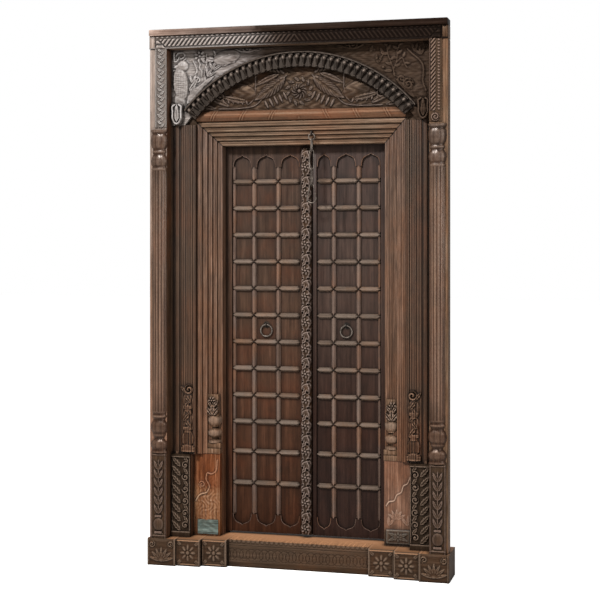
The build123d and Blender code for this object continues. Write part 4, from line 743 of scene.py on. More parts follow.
# tympanum behind the arch
tympanum = {"half": 590, "low": 2009, "lintelTop": 2022, "lintelHalf": 488, "high": 2330, "front": 84,
            "back": 104}


def tympanumWarp(x, z):
    foot = np.where(np.abs(x) <= tympanum["lintelHalf"], tympanum["lintelTop"], tympanum["low"])
    share = (z - tympanum["low"]) / (tympanum["high"] - tympanum["low"])
    return x, foot + share * (tympanum["high"] - foot)


def tympanumHalf(x, z):
    # drawn to the right of the middle
    parts = [leaf(x, z, (66, 2216), -40, 176, 62, 12, bend=0.08, vein=0.25, ribs=9),
             stem(x, z, [(60, 2224), (110, 2184), (166, 2128), (210, 2086), (300, 2078), (380, 2080)], 7, 7),
             leaf(x, z, (96, 2230), -18, 120, 30, 9, bend=-0.1, ribs=7),
             dome(x, z, (262, 2152), (70, 40), 9, 20),
             stem(x, z, [(206, 2226), (204, 2180), (212, 2120), (240, 2096)], 6, 6),
             leaf(x, z, (246, 2110), 8, 130, 30, 9, bend=0.08, ribs=9),
             leaf(x, z, (330, 2092), 24, 110, 26, 8, ribs=6), scroll(x, z, (372, 2136), 24, 1.7, 8, 180),
             leaf(x, z, (396, 2082), 12, 90, 24, 8, ribs=5),
             stem(x, z, [(300, 2200), (350, 2176), (400, 2130), (452, 2090)], 6, 5)]
    parts += [leaf(x, z, (74 + 22 * k, 2150 - 9 * k), 244, 44, 13, 9, vein=0.2) for k in range(5)]
    parts += [leaf(x, z, (250 + 22 * k, 2116 + 2 * k), 250, 24, 10, 8, vein=0.2) for k in range(6)]
    parts += [leaf(x, z, (70 + 20 * k, 2232 + 4 * k), 40, 34, 12, 7, vein=0.3) for k in range(6)]
    return highest(parts)


def tympanumStrokes(x, z):
    ground = 0.8 * np.sin(x / 8.3 + np.sin(z / 7)) * np.sin(z / 6.7)
    swirl = flower(x, z, (0, 2152), 40, 11, 10, 1.1)
    ringed = [leaf(x, z, (46 * cos(a), 2152 + 46 * sin(a)), np.degrees(a) + 55, 30, 14, 8, ribs=3)
              for a in np.linspace(0, 2 * pi, 12, endpoint=False)]
    fade = np.clip((tympanum["half"] - np.abs(x)) / 20, 0, 1) * np.clip((2320 - z) / 20, 0, 1)
    return (highest([swirl, tympanumHalf(np.abs(x), z)] + ringed) + ground) * fade


edge = tympanum["lintelHalf"]
carve("tympanum_carved",
      lines((-tympanum["half"], -edge - 0.1, 5), (-edge, edge, 2.6), (edge + 0.1, tympanum["half"], 5)),
      lines((tympanum["low"], 2060, 8), (2063, tympanum["high"], 2.6)),
      lambda x, z: (tympanum["front"] + 0 * x, tympanum["back"]), tympanumStrokes, woods["teakCarvedShadedBlack"],
      crest=3.6, warp=tympanumWarp, stands=["tympanum_panel"], slot="dark_wood")
print("tympanum")

# arched border of buds, with a rim outside and holes between the buds
border = {"inner": 631.58, "outer": 701.58, "plate": 48, "back": 64, "rim": 9, "rimRaise": 8, "span": 50.06,
          "buds": 37, "length": 53, "radius": 10.4, "swell": 2.2, "holeRadius": 8, "holeDepth": 13,
          "rubAndHighlightHeight": 44, "rubAndHighlightReach": 12, "rubAndHighlightFoot": 6, "rubAndHighlightFront": 18}
budProfile = [(0.0, 0.0), (0.0, 0.46), (0.04, 0.56), (0.10, 0.50), (0.13, 0.36), (0.17, 0.40), (0.3, 0.56),
              (0.45, 0.74), (0.6, 0.92), (0.72, 1.0), (0.84, 0.95), (0.93, 0.74), (0.985, 0.40), (1.0, 0.0)]


def polarWarp(x, z):
    turn = np.radians(x)
    return z * np.sin(turn), archPanel["centre"] + z * np.cos(turn)


def borderStrokes(x, z):
    out = np.hypot(x, z - archPanel["centre"])
    pitch = 2 * border["span"] / border["buds"]
    across = (np.degrees(np.arctan2(x, z - archPanel["centre"])) / pitch + border["buds"] / 2) % 1
    fromGap = np.radians(np.minimum(across, 1 - across) * pitch) * out
    holes = np.hypot(fromGap, out - border["outer"] + 17) < border["holeRadius"]
    fromRim = np.abs(out - border["outer"] + border["rim"] / 2 + 0.5)
    rim = np.clip(1 - fromRim / (border["rim"] / 2 + 1), 0, 1) ** 0.5
    return border["rimRaise"] * rim - border["holeDepth"] * holes


carve("arch_border_plate", np.linspace(-border["span"], border["span"], 520),
      lines((border["inner"], border["outer"], 2.2)), lambda x, z: (border["plate"] + 0 * x, border["back"]),
      borderStrokes, woods["teakTurnedSooty"], crest=9, warp=polarWarp, stands=["arch_bud_border"],
      slot="carved_wood")


def halfTurned(profile, length, radius, swell, steps=12):
    # a turned form cut in half, standing on z = 0, its flat back on y = 0
    bm = bmesh.new()
    verts = [bm.verts.new((out * radius * mm, 0, up * length * mm)) for up, out in profile]
    edges = [bm.edges.new(pair) for pair in zip(verts, verts[1:])]
    bmesh.ops.spin(bm, geom=verts + edges, cent=(0, 0, 0), axis=(0, 0, -1), angle=pi, steps=steps,
                   use_merge=False)
    bmesh.ops.remove_doubles(bm, verts=bm.verts, dist=1e-6)
    bmesh.ops.scale(bm, vec=(1, swell, 1), verts=bm.verts)
    bmesh.ops.edgeloop_fill(bm, edges=[edge for edge in bm.edges if edge.is_boundary])
    bmesh.ops.recalc_face_normals(bm, faces=bm.faces)
    return bm


def markTurnedWearAndShade(mesh, radius):
    # rubbed with a painted highlight on the swells, dirty and with painted shade in the necks
    out = np.array([hypot(v.co.x, v.co.y) for v in mesh.vertices]) / (radius * mm)
    worn = 0.4 * np.clip((out - 0.8) / 0.25, 0, 1)
    mesh.attributes.new("worn", "FLOAT", "POINT").data.foreach_set("value", worn)
    mesh.attributes.new("sunk", "FLOAT", "POINT").data.foreach_set("value", np.clip((0.66 - out) / 0.2, 0, 1))


def repeat(name, model, places, material, **how):
    bm = bmesh.new()
    for place in places:
        model.transform(place)
        bm.from_mesh(model)
        model.transform(place.inverted())
    return placePiece(name, toMesh(name, bm), material, **how)


def budRubAndHighlight(place):
    # rubbed, with a painted highlight, on the swell and at the tip of the foot, in front only
    swell = max(0, 1 - abs(place.z - border["rubAndHighlightHeight"] * mm) / (border["rubAndHighlightReach"] * mm))
    foot = 0.8 * (place.z < border["rubAndHighlightFoot"] * mm)
    return max(swell, foot) * min(1, max(0, -place.y / (border["rubAndHighlightFront"] * mm) - 0.25))


bud = toMesh("bud", halfTurned(budProfile, border["length"], border["radius"], border["swell"]))
rubsAndHighlights = bud.attributes.new("worn", "FLOAT", "POINT")
rubsAndHighlights.data.foreach_set("value", [budRubAndHighlight(vert.co) for vert in bud.vertices])
turns = [radians((k + 0.5) * 2 * border["span"] / border["buds"] - border["span"])
         for k in range(border["buds"])]
hub = Matrix.Translation(spot(0, border["plate"] + 1, archPanel["centre"]))
arm = Matrix.Translation((0, 0, (border["inner"] + 2) * mm))
repeat("arch_buds", bud, [hub @ Matrix.Rotation(turn, 4, "Y") @ arm for turn in turns],
       woods["teakTurnedSooty"], slot="carved_wood", smooth=50)
print("bud border")

# rope moulding under the cap, and the carved strips beside the spandrels
rope = {"half": 686, "low": 2353, "high": 2411, "front": -4, "back": 0, "pitch": 21, "raise": 5,
        "end": (661, 685.5), "endFront": -5, "endBack": -1}


def ropeStrokes(x, z):
    up = (z - rope["low"]) / (rope["high"] - rope["low"])
    band = np.clip((up - 0.14) / 0.06, 0, 1) * np.clip((0.78 - up) / 0.06, 0, 1)
    swing = np.where(x < 0, -1, 1) * (up - 0.5) * 44
    strand = ((x + swing) / rope["pitch"]) % 1
    mitre = rope["half"] - np.abs(x) - (rope["high"] - z)
    ridge = np.sqrt(np.clip(1 - ((strand - 0.5) / 0.36) ** 2, 0, None)) * band
    ridge = ridge * np.clip((mitre - 27) / 5, 0, 1)
    turn = np.abs(rope["half"] - np.abs(x) - 55) < 22
    upward = np.sqrt(np.clip(1 - (((z / rope["pitch"]) % 1 - 0.5) / 0.36) ** 2, 0, None))
    ridge = np.maximum(ridge, upward * turn * (mitre < 22))
    leafy = 0.5 * (1 + np.cos(2 * pi * x / 24)) * np.clip((up - 0.82) / 0.05, 0, 1)
    leafy *= np.clip((0.97 - up) / 0.05, 0, 1)
    return rope["raise"] * np.maximum(ridge, 0.6 * leafy) + 2.5 * np.clip((0.1 - up) / 0.04, 0, 1)


carve("rope_carved", lines((-rope["half"], rope["half"], 2.2)), lines((rope["low"], rope["high"], 2.2)),
      lambda x, z: (rope["front"] + 0 * x, rope["back"]), ropeStrokes, woods["teakCarvedRope"], crest=1.6,
      stands=["rope_moulding"], slot="carved_wood")
for side, finish in ((-1, "teakWeathered"), (1, "teakCarvedBrown")):      # plain wood outside the corners
    low, high = sorted(side * end for end in rope["end"])
    board(sides[side] + "_rope_end", (spot(low, rope["endFront"], rope["low"] + 0.5),
                                      spot(high, rope["endBack"], rope["high"] - 0.5)), woods[finish], 2)

strip = {"low": 603, "high": 659, "foot": 1994, "head": 2353, "front": -4, "back": 0}


def leftStrip(x, z):
    across, pitch = -x - strip["low"], 30
    row = (z - strip["foot"]) / pitch
    swing = np.abs(2 * (row % 1) - 1)
    vine = np.sqrt(np.clip(1 - ((across - 20 - 16 * swing) / 4) ** 2, 0, None))
    leaves = highest(leaf(x, z, (-strip["low"] - 28 + 4 * hand,
                                 strip["foot"] + pitch * (k + 0.5 * (hand > 0))),
                          90 + 52 * hand, 27, 13, 4.4, ribs=3) for k in range(12) for hand in (-1, 1))
    edges = np.clip(1 - np.abs(across - 3) / 2.5, 0, 1) + np.clip(1 - np.abs(across - 52) / 2.5, 0, 1)
    return np.maximum(leaves, 3.4 * vine * 0.6) + 2.5 * edges


def rightStrip(x, z):
    across = x - strip["low"]
    strand = ((z - 1.2 * (across - 20)) / 19) % 1
    ropeBand = np.sqrt(np.clip(1 - ((strand - 0.5) / 0.4) ** 2, 0, None)) * (np.abs(across - 18) < 11)
    beads = np.sqrt(np.clip(1 - (((z / 13) % 1 - 0.5) / 0.42) ** 2 - ((across - 43) / 6) ** 2, 0, None))
    edge = np.clip(1 - np.abs(across - 3.5) / 3, 0, 1)
    carved = np.where(z > 2040, np.maximum(4.6 * ropeBand, 4 * beads) + 4 * edge, 0)
    return np.where(z > 2034, carved, scroll(x, z, (strip["low"] + 28, 2014), 20, 1.8, 4.6))


for side, drawing, finish in ((-1, leftStrip, "teakCarvedStrip"), (1, rightStrip, "teakCarvedBrown")):
    carve(sides[side] + "_strip_carved", *flatSheet(strip, side, 1.6, 1.8), drawing, woods[finish], crest=1.6,
          stands=[sides[side] + "_frieze_strip"], slot="carved_wood")

# leaf brackets under the ends of the arch
bracket = {"low": 543, "high": 597, "foot": 2009, "head": 2106, "front": 44, "back": 64}


def bracketStrokes(x, z):
    middle = (bracket["low"] + bracket["high"]) / 2
    parts = [leaf(x, z, (middle, 2022), 90, 84, 26, 12, vein=0.25),
             dome(x, z, (middle, 2084), (9, 15), 14, 0)]
    for hand in (-1, 1):
        parts += [stem(x, z, [(middle + 10 * hand, 2100), (middle + 23 * hand, 2092),
                              (middle + 19 * hand, 2066), (middle + 21 * hand, 2040),
                              (middle + 12 * hand, 2020), (middle, 2013)], 11, 11),
                  stem(x, z, [(middle + 12 * hand, 2060), (middle + 11 * hand, 2042),
                              (middle + 3 * hand, 2028)], 6, 8)]
    return highest(parts)


def bracketWarp(x, z):
    # the foot of the block is rounded
    middle, half = (bracket["low"] + bracket["high"]) / 2, (bracket["high"] - bracket["low"]) / 2
    foot = bracket["foot"] + 30 * np.clip(np.abs(np.abs(x) - middle) / half, 0, 1) ** 2.2
    share = (z - bracket["foot"]) / (bracket["head"] - bracket["foot"])
    return x, foot + share * (bracket["head"] - foot)


for side in sides:
    carve(sides[side] + "_bracket_carved", *flatSheet(bracket, side, 1.6, 1.8), onSide(bracketStrokes, side),
          woods["teakCarvedGrey"], crest=2.5, warp=bracketWarp,
          stands=[sides[side] + "_arch_bracket"], slot="carved_wood")

# half-round bead with ribbon wraps
bead = {"half": 486, "low": 2022, "high": 2072, "back": 84, "reach": 17, "wraps": 7, "lean": 26}


def beadShape(x, z):
    swing = pi * (z - bead["low"]) / (bead["high"] - bead["low"])
    return bead["back"] - bead["reach"] * np.sin(swing) ** 0.7, bead["back"] + 1


def beadStrokes(x, z):
    pitch = 2 * bead["half"] / bead["wraps"]
    up = (z - bead["low"]) / (bead["high"] - bead["low"])
    lean = np.where(x < 0, 1, -1) * bead["lean"] * up
    along = (x - lean + bead["half"]) % pitch - pitch / 2
    wrap = np.clip(1 - np.abs(np.abs(along) - 6) / 4, 0, 1)
    return 2 * wrap * np.clip(np.minimum(up, 1 - up) * 8, 0, 1)


carve("ribbon_bead_round", lines((-bead["half"], bead["half"], 2.5)), lines((bead["low"], bead["high"], 2)),
      beadShape, beadStrokes, woods["teakRubbed"], crest=1.2, stands=["ribbon_bead"], slot="bead_wood")
print("head of the frame")

# half columns: fluted shaft between a turned base and capital
column = {"x": 639, "radius": 36, "depthShare": 0.47, "foot": 511, "shaftFoot": 695, "shaftHead": 1803,
          "head": 1983, "flutes": 7, "fluteDepth": 2.6, "gadroons": 4, "gadroonDepth": 1.4,
          "baseBulbs": ((0.13, 0.33), (0.47, 0.82)), "capitalBulbs": ((0.09, 0.36), (0.54, 0.9))}
baseTurns = [(0.0, 1.1), (0.05, 1.1), (0.07, 0.9), (0.11, 1.0), (0.18, 1.14), (0.25, 1.12), (0.31, 0.9),
             (0.345, 0.62), (0.41, 0.62), (0.42, 0.9), (0.45, 0.9), (0.47, 0.8), (0.54, 1.06), (0.62, 1.14),
             (0.72, 1.1), (0.79, 0.86), (0.82, 0.74), (0.87, 0.74), (0.88, 0.98), (0.93, 1.02), (0.95, 0.8),
             (1.0, 0.96)]
capitalTurns = [(0.0, 0.98), (0.03, 1.06), (0.06, 0.84), (0.1, 1.0), (0.2, 1.13), (0.3, 1.04), (0.36, 0.84),
                (0.41, 0.78), (0.43, 0.96), (0.47, 0.96), (0.49, 0.74), (0.53, 0.9), (0.62, 1.08),
                (0.73, 1.14), (0.84, 1.08), (0.9, 0.9), (0.92, 0.84), (0.94, 1.1), (1.0, 1.15)]


def columnRadius(z):
    heights = [column["foot"] + up * (column["shaftFoot"] - column["foot"]) for up, _ in baseTurns]
    heights += [column["shaftHead"] + up * (column["head"] - column["shaftHead"]) for up, _ in capitalTurns]
    outs = [out for _, out in baseTurns + capitalTurns]
    return column["radius"] * sum(np.interp(z + off, heights, outs) for off in (-5, -2.5, 0, 2.5, 5)) / 5


def columnCut(turn, z):
    # flutes on the shaft and gadroons on the swelling parts
    shaft = (z > column["shaftFoot"] + 4) & (z < column["shaftHead"] - 4)
    flutes = np.abs(np.cos(column["flutes"] * turn)) ** 0.5
    gadroons = np.abs(np.cos(column["gadroons"] * turn)) ** 0.6
    base = (z - column["foot"]) / (column["shaftFoot"] - column["foot"])
    top = (z - column["shaftHead"]) / (column["head"] - column["shaftHead"])
    bulbs = highest((share > low) & (share < high) for share, spans in
                    ((base, column["baseBulbs"]), (top, column["capitalBulbs"])) for low, high in spans)
    swells = np.where(bulbs, column["gadroonDepth"] * (gadroons - 1), 0)
    return np.where(shaft, column["fluteDepth"] * (flutes - 1), swells)


def columnWarp(side):
    def warp(x, z):
        turn = pi * x
        reach = columnRadius(z) + columnCut(turn, z)
        return side * column["x"] - reach * np.cos(turn), z
    return warp


def columnShape(x, z):
    turn = np.broadcast_to(pi * np.linspace(0, 1, x.shape[1]), x.shape)
    reach = (columnRadius(z) + columnCut(turn, z)) * column["depthShare"]
    return -reach * np.sin(turn), 2 + 0 * x


columnRows = lines((column["foot"], column["shaftFoot"] + 6, 2),
                   (column["shaftFoot"] + 8, column["shaftHead"] - 8, 60),
                   (column["shaftHead"] - 6, column["head"], 2))
for side in sides:
    carve(sides[side] + "_column_turned", np.linspace(0, 1, 57), columnRows, columnShape, lambda x, z: 0 * x,
          woods["teakTurned"], crest=1.5, reach=5, warp=columnWarp(side), stands=[sides[side] + "_column"],
          smooth=45)

# pedestals under the columns: a pot with a tall fern
pedestal = {"low": 606, "high": 676, "foot": 122, "head": 511, "front": -9, "back": 0}


def pedestalStrokes(x, z):
    middle = (pedestal["low"] + pedestal["high"]) / 2
    off = np.abs(x - middle)
    fern = [stem(x, z, [(middle, 230), (middle, 476)], 6, 5)]
    for k in range(6):
        fern += [leaf(x, z, (middle, 234 + 40 * k), 90 - 34 * hand, 48, 17, 7, bend=0.14 * hand, vein=0.3,
                      ribs=4) for hand in (-1, 1)]
    pot = [dome(x, z, (middle, 186), (25, 30), 9), 8 * (np.abs(z - 224) < 6) * (off < 17),
           8 * (np.abs(z - 150) < 6) * (off < 18)]
    edges = 4 * np.clip(1 - np.abs(off - 32) / 3, 0, 1)
    rings = 4 * (np.clip(1 - np.abs(z - 134) / 5, 0, 1) + np.clip(1 - np.abs(z - 503) / 6, 0, 1))
    inside = np.clip((30 - off) / 3, 0, 1) * ((z > 140) & (z < 496))
    return np.maximum(highest(fern + pot) * inside, edges) + rings - 2


for side in sides:
    carve(sides[side] + "_pedestal_carved", *flatSheet(pedestal, side, 1.8, 1.8),
          onSide(pedestalStrokes, side), woods["teakCarvedBrown"], crest=1.8,
          stands=[sides[side] + "_pedestal"])
print("columns")

# reeded bands with a vase of flowers low down
band = {"low": 488, "plinth": 510, "high": 664, "foot": 122, "plinthHead": 500, "head": 2009, "back": 130}
bandSection = [(488, 70), (490, 67), (493, 66), (502, 66), (504, 69), (507, 66), (532, 66), (534, 69),
               (537, 66), (559, 66), (561.5, 71), (566, 71), (568, 66), (570, 64.2), (576, 63.5), (582, 64.2),
               (584, 66), (588, 76), (597, 76), (600, 70), (603, 64), (664, 64)]


def bandWarp(x, z):
    foot = np.where(z < band["plinthHead"], band["plinth"], band["low"])
    share = (np.abs(x) - band["low"]) / (band["high"] - band["low"])
    return np.sign(x) * (foot + share * (band["high"] - foot)), z


def bandShape(x, z):
    reeded = (np.abs(x) > 493) & (np.abs(x) < 559)
    reeds = 2.4 * (1 - np.abs(np.sin(pi * (np.abs(x) - 493) / 11)) ** 0.6) * reeded
    return np.interp(np.abs(x), *zip(*bandSection)) + reeds, band["back"]


vaseTurns = [(512, 33), (530, 33), (531, 28), (540, 28), (541, 18), (552, 27), (575, 31), (598, 20),
             (602, 17), (612, 17), (613, 24), (624, 24), (640, 22), (668, 27), (694, 20), (698, 16),
             (708, 16), (709, 23), (720, 23), (745, 27), (765, 20), (782, 8)]


def vase(x, z):
    middle = 524.5
    off = x - middle
    outline = np.interp(z, *zip(*vaseTurns))
    body = 17 * np.sqrt(np.clip(1 - (off / outline) ** 2, 0, None)) * ((z > 512) & (z < 782))
    ribbed, sunken = (z > 545) & (z < 600), ((z > 626) & (z < 697)) | (z > 722)
    body *= 1 - 0.4 * np.abs(np.sin(pi * off / 11)) * ribbed - 0.45 * sunken
    parts = [body, scroll(x, z, (middle - 6, 796), 22, 1.4, 13, 250),
             leaf(x, z, (middle + 4, 776), 50, 46, 18, 11, ribs=3)]
    for k in range(5):                                  # overlapping leaves up the body
        hand = (-1) ** k
        parts.append(leaf(x, z, (middle - 18 * hand, 622 + 30 * k - 6 * (k > 2)), 90 - 44 * hand, 52, 23, 18,
                          bend=0.15 * hand, vein=0.35, ribs=3))
    return highest(parts)


bandAcross = np.unique(np.concatenate([np.linspace(488, 606, 80), [entry[0] for entry in bandSection]]))
for side in sides:
    rows = lines((band["foot"], band["plinthHead"] - 0.1, 60), (band["plinthHead"], 508, 8), (510, 830, 2.2),
                 (836, band["head"], 60))
    carve(sides[side] + "_band_reeded", bandAcross if side > 0 else -bandAcross[::-1], rows, bandShape,
          onSide(vase, side), woods["teakReeded"], crest=2.6, warp=bandWarp, stands=[sides[side] + "_band"])

# carved plinth boards at the foot of the bands: a file of slanting leaves and a file of curls
bandPlinth = {"low": 510, "high": 600, "foot": 122, "head": 500, "front": 53, "back": 63.5}


def bandPlinthStrokes(x, z):
    parts = [leaf(x, z, (555, 150 + 42 * k), 42, 60, 25, 10, bend=0.1, vein=0.35, ribs=4) for k in range(8)]
    for k in range(6):                                  # curls with a leaf between
        z0 = 176 + 55 * k
        parts += [scroll(x, z, (533, z0), 17, 1.4, 9, 70 * k), dome(x, z, (533, z0), (6, 6), 10),
                  leaf(x, z, (520, z0 + 12), 56, 38, 19, 9, vein=0.35, ribs=3)]
    edges = 8 * (np.clip(1 - np.abs(x - 513) / 4, 0, 1) + np.clip(1 - np.abs(x - 597) / 4, 0, 1))
    inside = (z > 148) & (z < 486)
    return np.where(inside, np.maximum(highest(parts), edges) - 3, 7)


for side in sides:
    carve(sides[side] + "_band_plinth_carved", *flatSheet(bandPlinth, side, 1.9, 1.9),
          onSide(bandPlinthStrokes, side), woods["teakCarvedBlack"], crest=2.4,
          stands=[sides[side] + "_band_plinth"])

# plinth blocks at the foot of the jambs, with a raised line and a foot panel
jambPlinth = {"low": 384, "high": 510, "foot": 122, "head": 500, "front": 105, "back": 135}
footPlate = {"low": 392, "high": 490, "foot": 130, "head": 196, "front": 103, "back": 109}


def rightJambPlinth(x, z):
    line = stem(x, z, [(394, 300), (404, 318), (430, 322), (440, 350), (462, 360), (470, 392), (490, 400),
                       (502, 430)], 7, 3)
    parts = [line, spray(x, z, (440, 240), (30, 60, 90, 120, 150), 46, 15, 2.2, ribs=4),
             spray(x, z, (404, 212), (50, 90), 44, 14, 2, ribs=4),
             spray(x, z, (492, 214), (90, 130), 50, 15, 2.2, ribs=4),
             0.6 * np.sin(x / 13 + np.sin(z / 23)) * np.sin(z / 17)]
    foot = (z > 132) & (z < 194) & (x > 394) & (x < 500)
    panel = 3.5 + highest([flower(x, z, (447, 163), 24, 8, 3.5),
                           spray(x, z, (447, 163), (20, 160, 200, 340), 48, 16, 3.2, ribs=3)])
    return np.where(foot, panel, highest(parts))


def leftJambPlinth(x, z):
    line = stem(x, z, [(-396, 470), (-400, 420), (-424, 404), (-446, 412), (-452, 380), (-432, 350),
                       (-446, 318), (-482, 310), (-500, 280)], 7, 3.4)
    worn = 1.4 * np.sin(x / 17 + np.sin(z / 31)) * np.sin(z / 43)
    scraped = 1.5 * np.sin(x / 5 + 3 * np.sin(z / 11)) * np.sin(z / 8 + 2 * np.sin(x / 9))
    worn += scraped * np.exp(-((x + 440) / 48) ** 2 - ((z - 290) / 80) ** 2)
    return np.maximum(line, scroll(x, z, (-470, 356), 16, 1.5, 2.6)) + worn


def footPanel(x, z):
    # paint flaking off in low blisters
    return 0.9 * np.sin(x / 9 + 2 * np.sin(z / 13)) * np.sin(z / 8 + np.sin(x / 17))


for side, drawing, finish in ((-1, leftJambPlinth, "teakScraped"), (1, rightJambPlinth, "teakScrapedPale")):
    carve(sides[side] + "_jamb_plinth_carved", *flatSheet(jambPlinth, side, 2.2, 2.2), drawing, woods[finish],
          crest=1.6, stands=[sides[side] + "_jamb_plinth"])
carve("left_foot_panel", *flatSheet(footPlate, -1, 2.2, 2.2), footPanel, woods["limewashFlaked"], crest=1.6)
print("plinths")

# urns on the jambs, standing on two steps, with a spray of leaves
urn = {"x": 418, "depth": 135, "foot": 549, "head": 690, "radius": 36, "swell": 1.05,
       "steps": ((500, 524, 50, 100), (524, 549, 42, 106)),
       "spray": {"low": 392, "high": 444, "foot": 672, "head": 772, "front": 108, "back": 135}}
urnTurns = [(0.0, 0.0), (0.0, 0.95), (0.07, 0.97), (0.09, 0.8), (0.13, 0.56), (0.17, 0.6), (0.2, 0.8),
            (0.27, 0.98), (0.36, 1.0), (0.43, 0.84), (0.47, 0.56), (0.51, 0.5), (0.53, 0.72), (0.56, 0.72),
            (0.6, 0.86), (0.7, 1.0), (0.8, 1.0), (0.9, 0.8), (0.95, 0.56), (1.0, 0.6), (1.0, 0.0)]


def urnSpray(x, z):
    parts = [leaf(x, z, (urn["x"], 676), 90, 60, 24, 16, ribs=4),
             flower(x, z, (urn["x"] + 4, 744), 20, 6, 15)]
    for turn in (52, 128):
        parts += [leaf(x, z, (urn["x"], 676), turn, 50, 22, 15, ribs=3),
                  leaf(x, z, (urn["x"], 712), turn, 40, 18, 13, ribs=3)]
    return highest(parts)


for side in sides:
    name = sides[side] + "_jamb"
    for low, high, half, front in urn["steps"]:
        inner, outer = max(urn["x"] - half, moulding["halfWidth"]), urn["x"] + half
        span = sorted((side * inner, side * outer))
        board(name + "_urn_step", (spot(span[0], front, low), spot(span[1], urn["depth"], high)),
              woods["teakPlaned"], 3)
    model = toMesh("urn", halfTurned(urnTurns, urn["head"] - urn["foot"], urn["radius"], urn["swell"], 20))
    markTurnedWearAndShade(model, urn["radius"])
    repeat(name + "_urn", model, [Matrix.Translation(spot(side * urn["x"], urn["depth"], urn["foot"]))],
           woods["teakPlaned"])
    carve(name + "_spray", *flatSheet(urn["spray"], side, 1.8, 1.8), onSide(urnSpray, side),
          woods["teakPlaned"], crest=3)
print("urns")

# sill: carved fronts in steps, and a plain tongue behind with the pivot sockets
sill = {"half": 692.5, "edges": (328, 446, 559), "fronts": (50, 24, 0, -13), "height": 122, "endBack": 158,
        "tongue": 520, "tongueBack": 262, "middle": 61, "ringPitch": 62, "ringHeight": 56, "ringRadius": 25,
        "cut": 1.6}


def sillShape(x, z):
    steps = [np.abs(x) <= edge for edge in sill["edges"]]
    front = np.select(steps, sill["fronts"][:3], sill["fronts"][3])
    worn = 2.5 * np.clip((z - 112) / 10, 0, 1) ** 2
    return front + worn, sill["endBack"]


def sillStrokes(x, z):
    off = np.abs(x)
    inner, middle, outer = sill["edges"]
    parts = []
    for low, high in ((inner, middle), (middle, outer)):
        centre = (low + high) / 2
        parts.append(flower(off, z, (centre, sill["middle"]), 40, 8, 6.5))
        parts += [leaf(off, z, (centre + 34 * a, sill["middle"] + 34 * b), np.degrees(np.arctan2(b, a)),
                       24, 18, 5, ribs=2) for a in (-1, 1) for b in (-1, 1)]
        ring = np.maximum(np.abs(off - centre), np.abs(z - sill["middle"]))
        parts.append(4.5 * np.clip(1 - np.abs(ring - 53) / 3.5, 0, 1))
    palm = (outer + sill["half"]) / 2
    parts += [leaf(off, z, (palm, 22), turn, 62, 17, 6, ribs=4) for turn in (14, 40, 65, 90, 115, 140, 166)]
    parts += [dome(off, z, (palm, 26), (13, 10), 7), scroll(off, z, (palm - 44, 96), 15, 1.6, 5),
              scroll(off, z, (palm + 44, 96), 15, 1.6, 5, 0, -1)]
    bigRing = np.clip(1 - np.abs(np.abs(off - palm) - 61) / 3.5, 0, 1)
    parts.append(4.5 * bigRing * (off > outer))
    carved = highest(parts)
    # faint incised circles and scallops along the middle
    pitch, up, cutHalf = sill["ringPitch"], z - sill["ringHeight"], sill["cut"]
    local = (x + pitch / 2) % pitch - pitch / 2
    ringed = np.abs(np.hypot(local, up) - sill["ringRadius"]) < cutHalf
    second = np.abs(np.hypot(np.abs(local) - pitch / 2, up) - sill["ringRadius"]) < cutHalf
    scallop = np.abs(np.hypot(np.abs((x % 22) - 11), z - 116) - 9) < cutHalf
    incised = ringed | second | scallop | (np.abs(z - 97) < 1.2)
    return np.where(off < inner, -sill["cut"] * incised, carved)


inner, middle, outer = sill["edges"]
gap = 0.1
sillAcross = lines((-sill["half"], -outer - gap, 2.6), (-outer, -middle - gap, 2.6),
                   (-middle, -inner - gap, 2.6), (-inner, inner, 2.6), (inner + gap, middle, 2.6),
                   (middle + gap, outer, 2.6), (outer + gap, sill["half"], 2.6))
carve("sill_carved", sillAcross, lines((0, sill["height"], 2.6)), sillShape, sillStrokes,
      woods["teakTrodden"], crest=2.2, stands=["sill"], slot="sill_wood")
bm = bmesh.new()
reach, back = sill["tongue"], sill["tongueBack"]
prism(bm, [spot(-reach, sill["endBack"], 0), spot(reach, sill["endBack"], 0), spot(reach, back, 0),
           spot(-reach, back, 0)], (0, 0, sill["height"] * mm))
sockets = [(side * pivots["x"], pivots["depth"]) for side in sides]
tongue = drill(toMesh("sill_tongue", bm), sockets, pivots["radius"], pivots["sillFloor"], sill["height"] + 20)
placePiece("sill_tongue", tongue, woods["teakTrodden"], slot="sill_wood")
print("sill")

# round wires along a path
wireSides = 10


def wire(name, path, radius, centre, across, normal, stands=(), closed=True, body="frame", material=iron,
         slot="iron"):
    # path in millimetres on the plane through the centre, with a circle across it at each point
    across, normal = Vector(across), Vector(normal)
    side, count = normal.cross(across), len(path)
    bm = bmesh.new()
    for index, (along, aside) in enumerate(path):
        before, after = path[index - 1], path[(index + 1) % count]
        if not closed:
            before, after = path[max(index - 1, 0)], path[min(index + 1, count - 1)]
        run = (Vector(after) - Vector(before)).normalized()
        out = across * run.y - side * run.x
        turn = Matrix((-normal, out, out.cross(normal))).transposed().to_4x4()
        middle = spot(*centre) + (across * along + side * aside) * mm
        bmesh.ops.create_circle(bm, segments=wireSides, radius=radius * mm,
                                matrix=Matrix.Translation(middle) @ turn)
    edges = bm.edges[:]
    bridgeUp(bm, [edges[k:k + wireSides] for k in range(0, len(edges), wireSides)], closed)
    bmesh.ops.recalc_face_normals(bm, faces=bm.faces)
    placePiece(name, toMesh(name, bm), material, body=body, stands=stands, slot=slot, smooth=60)


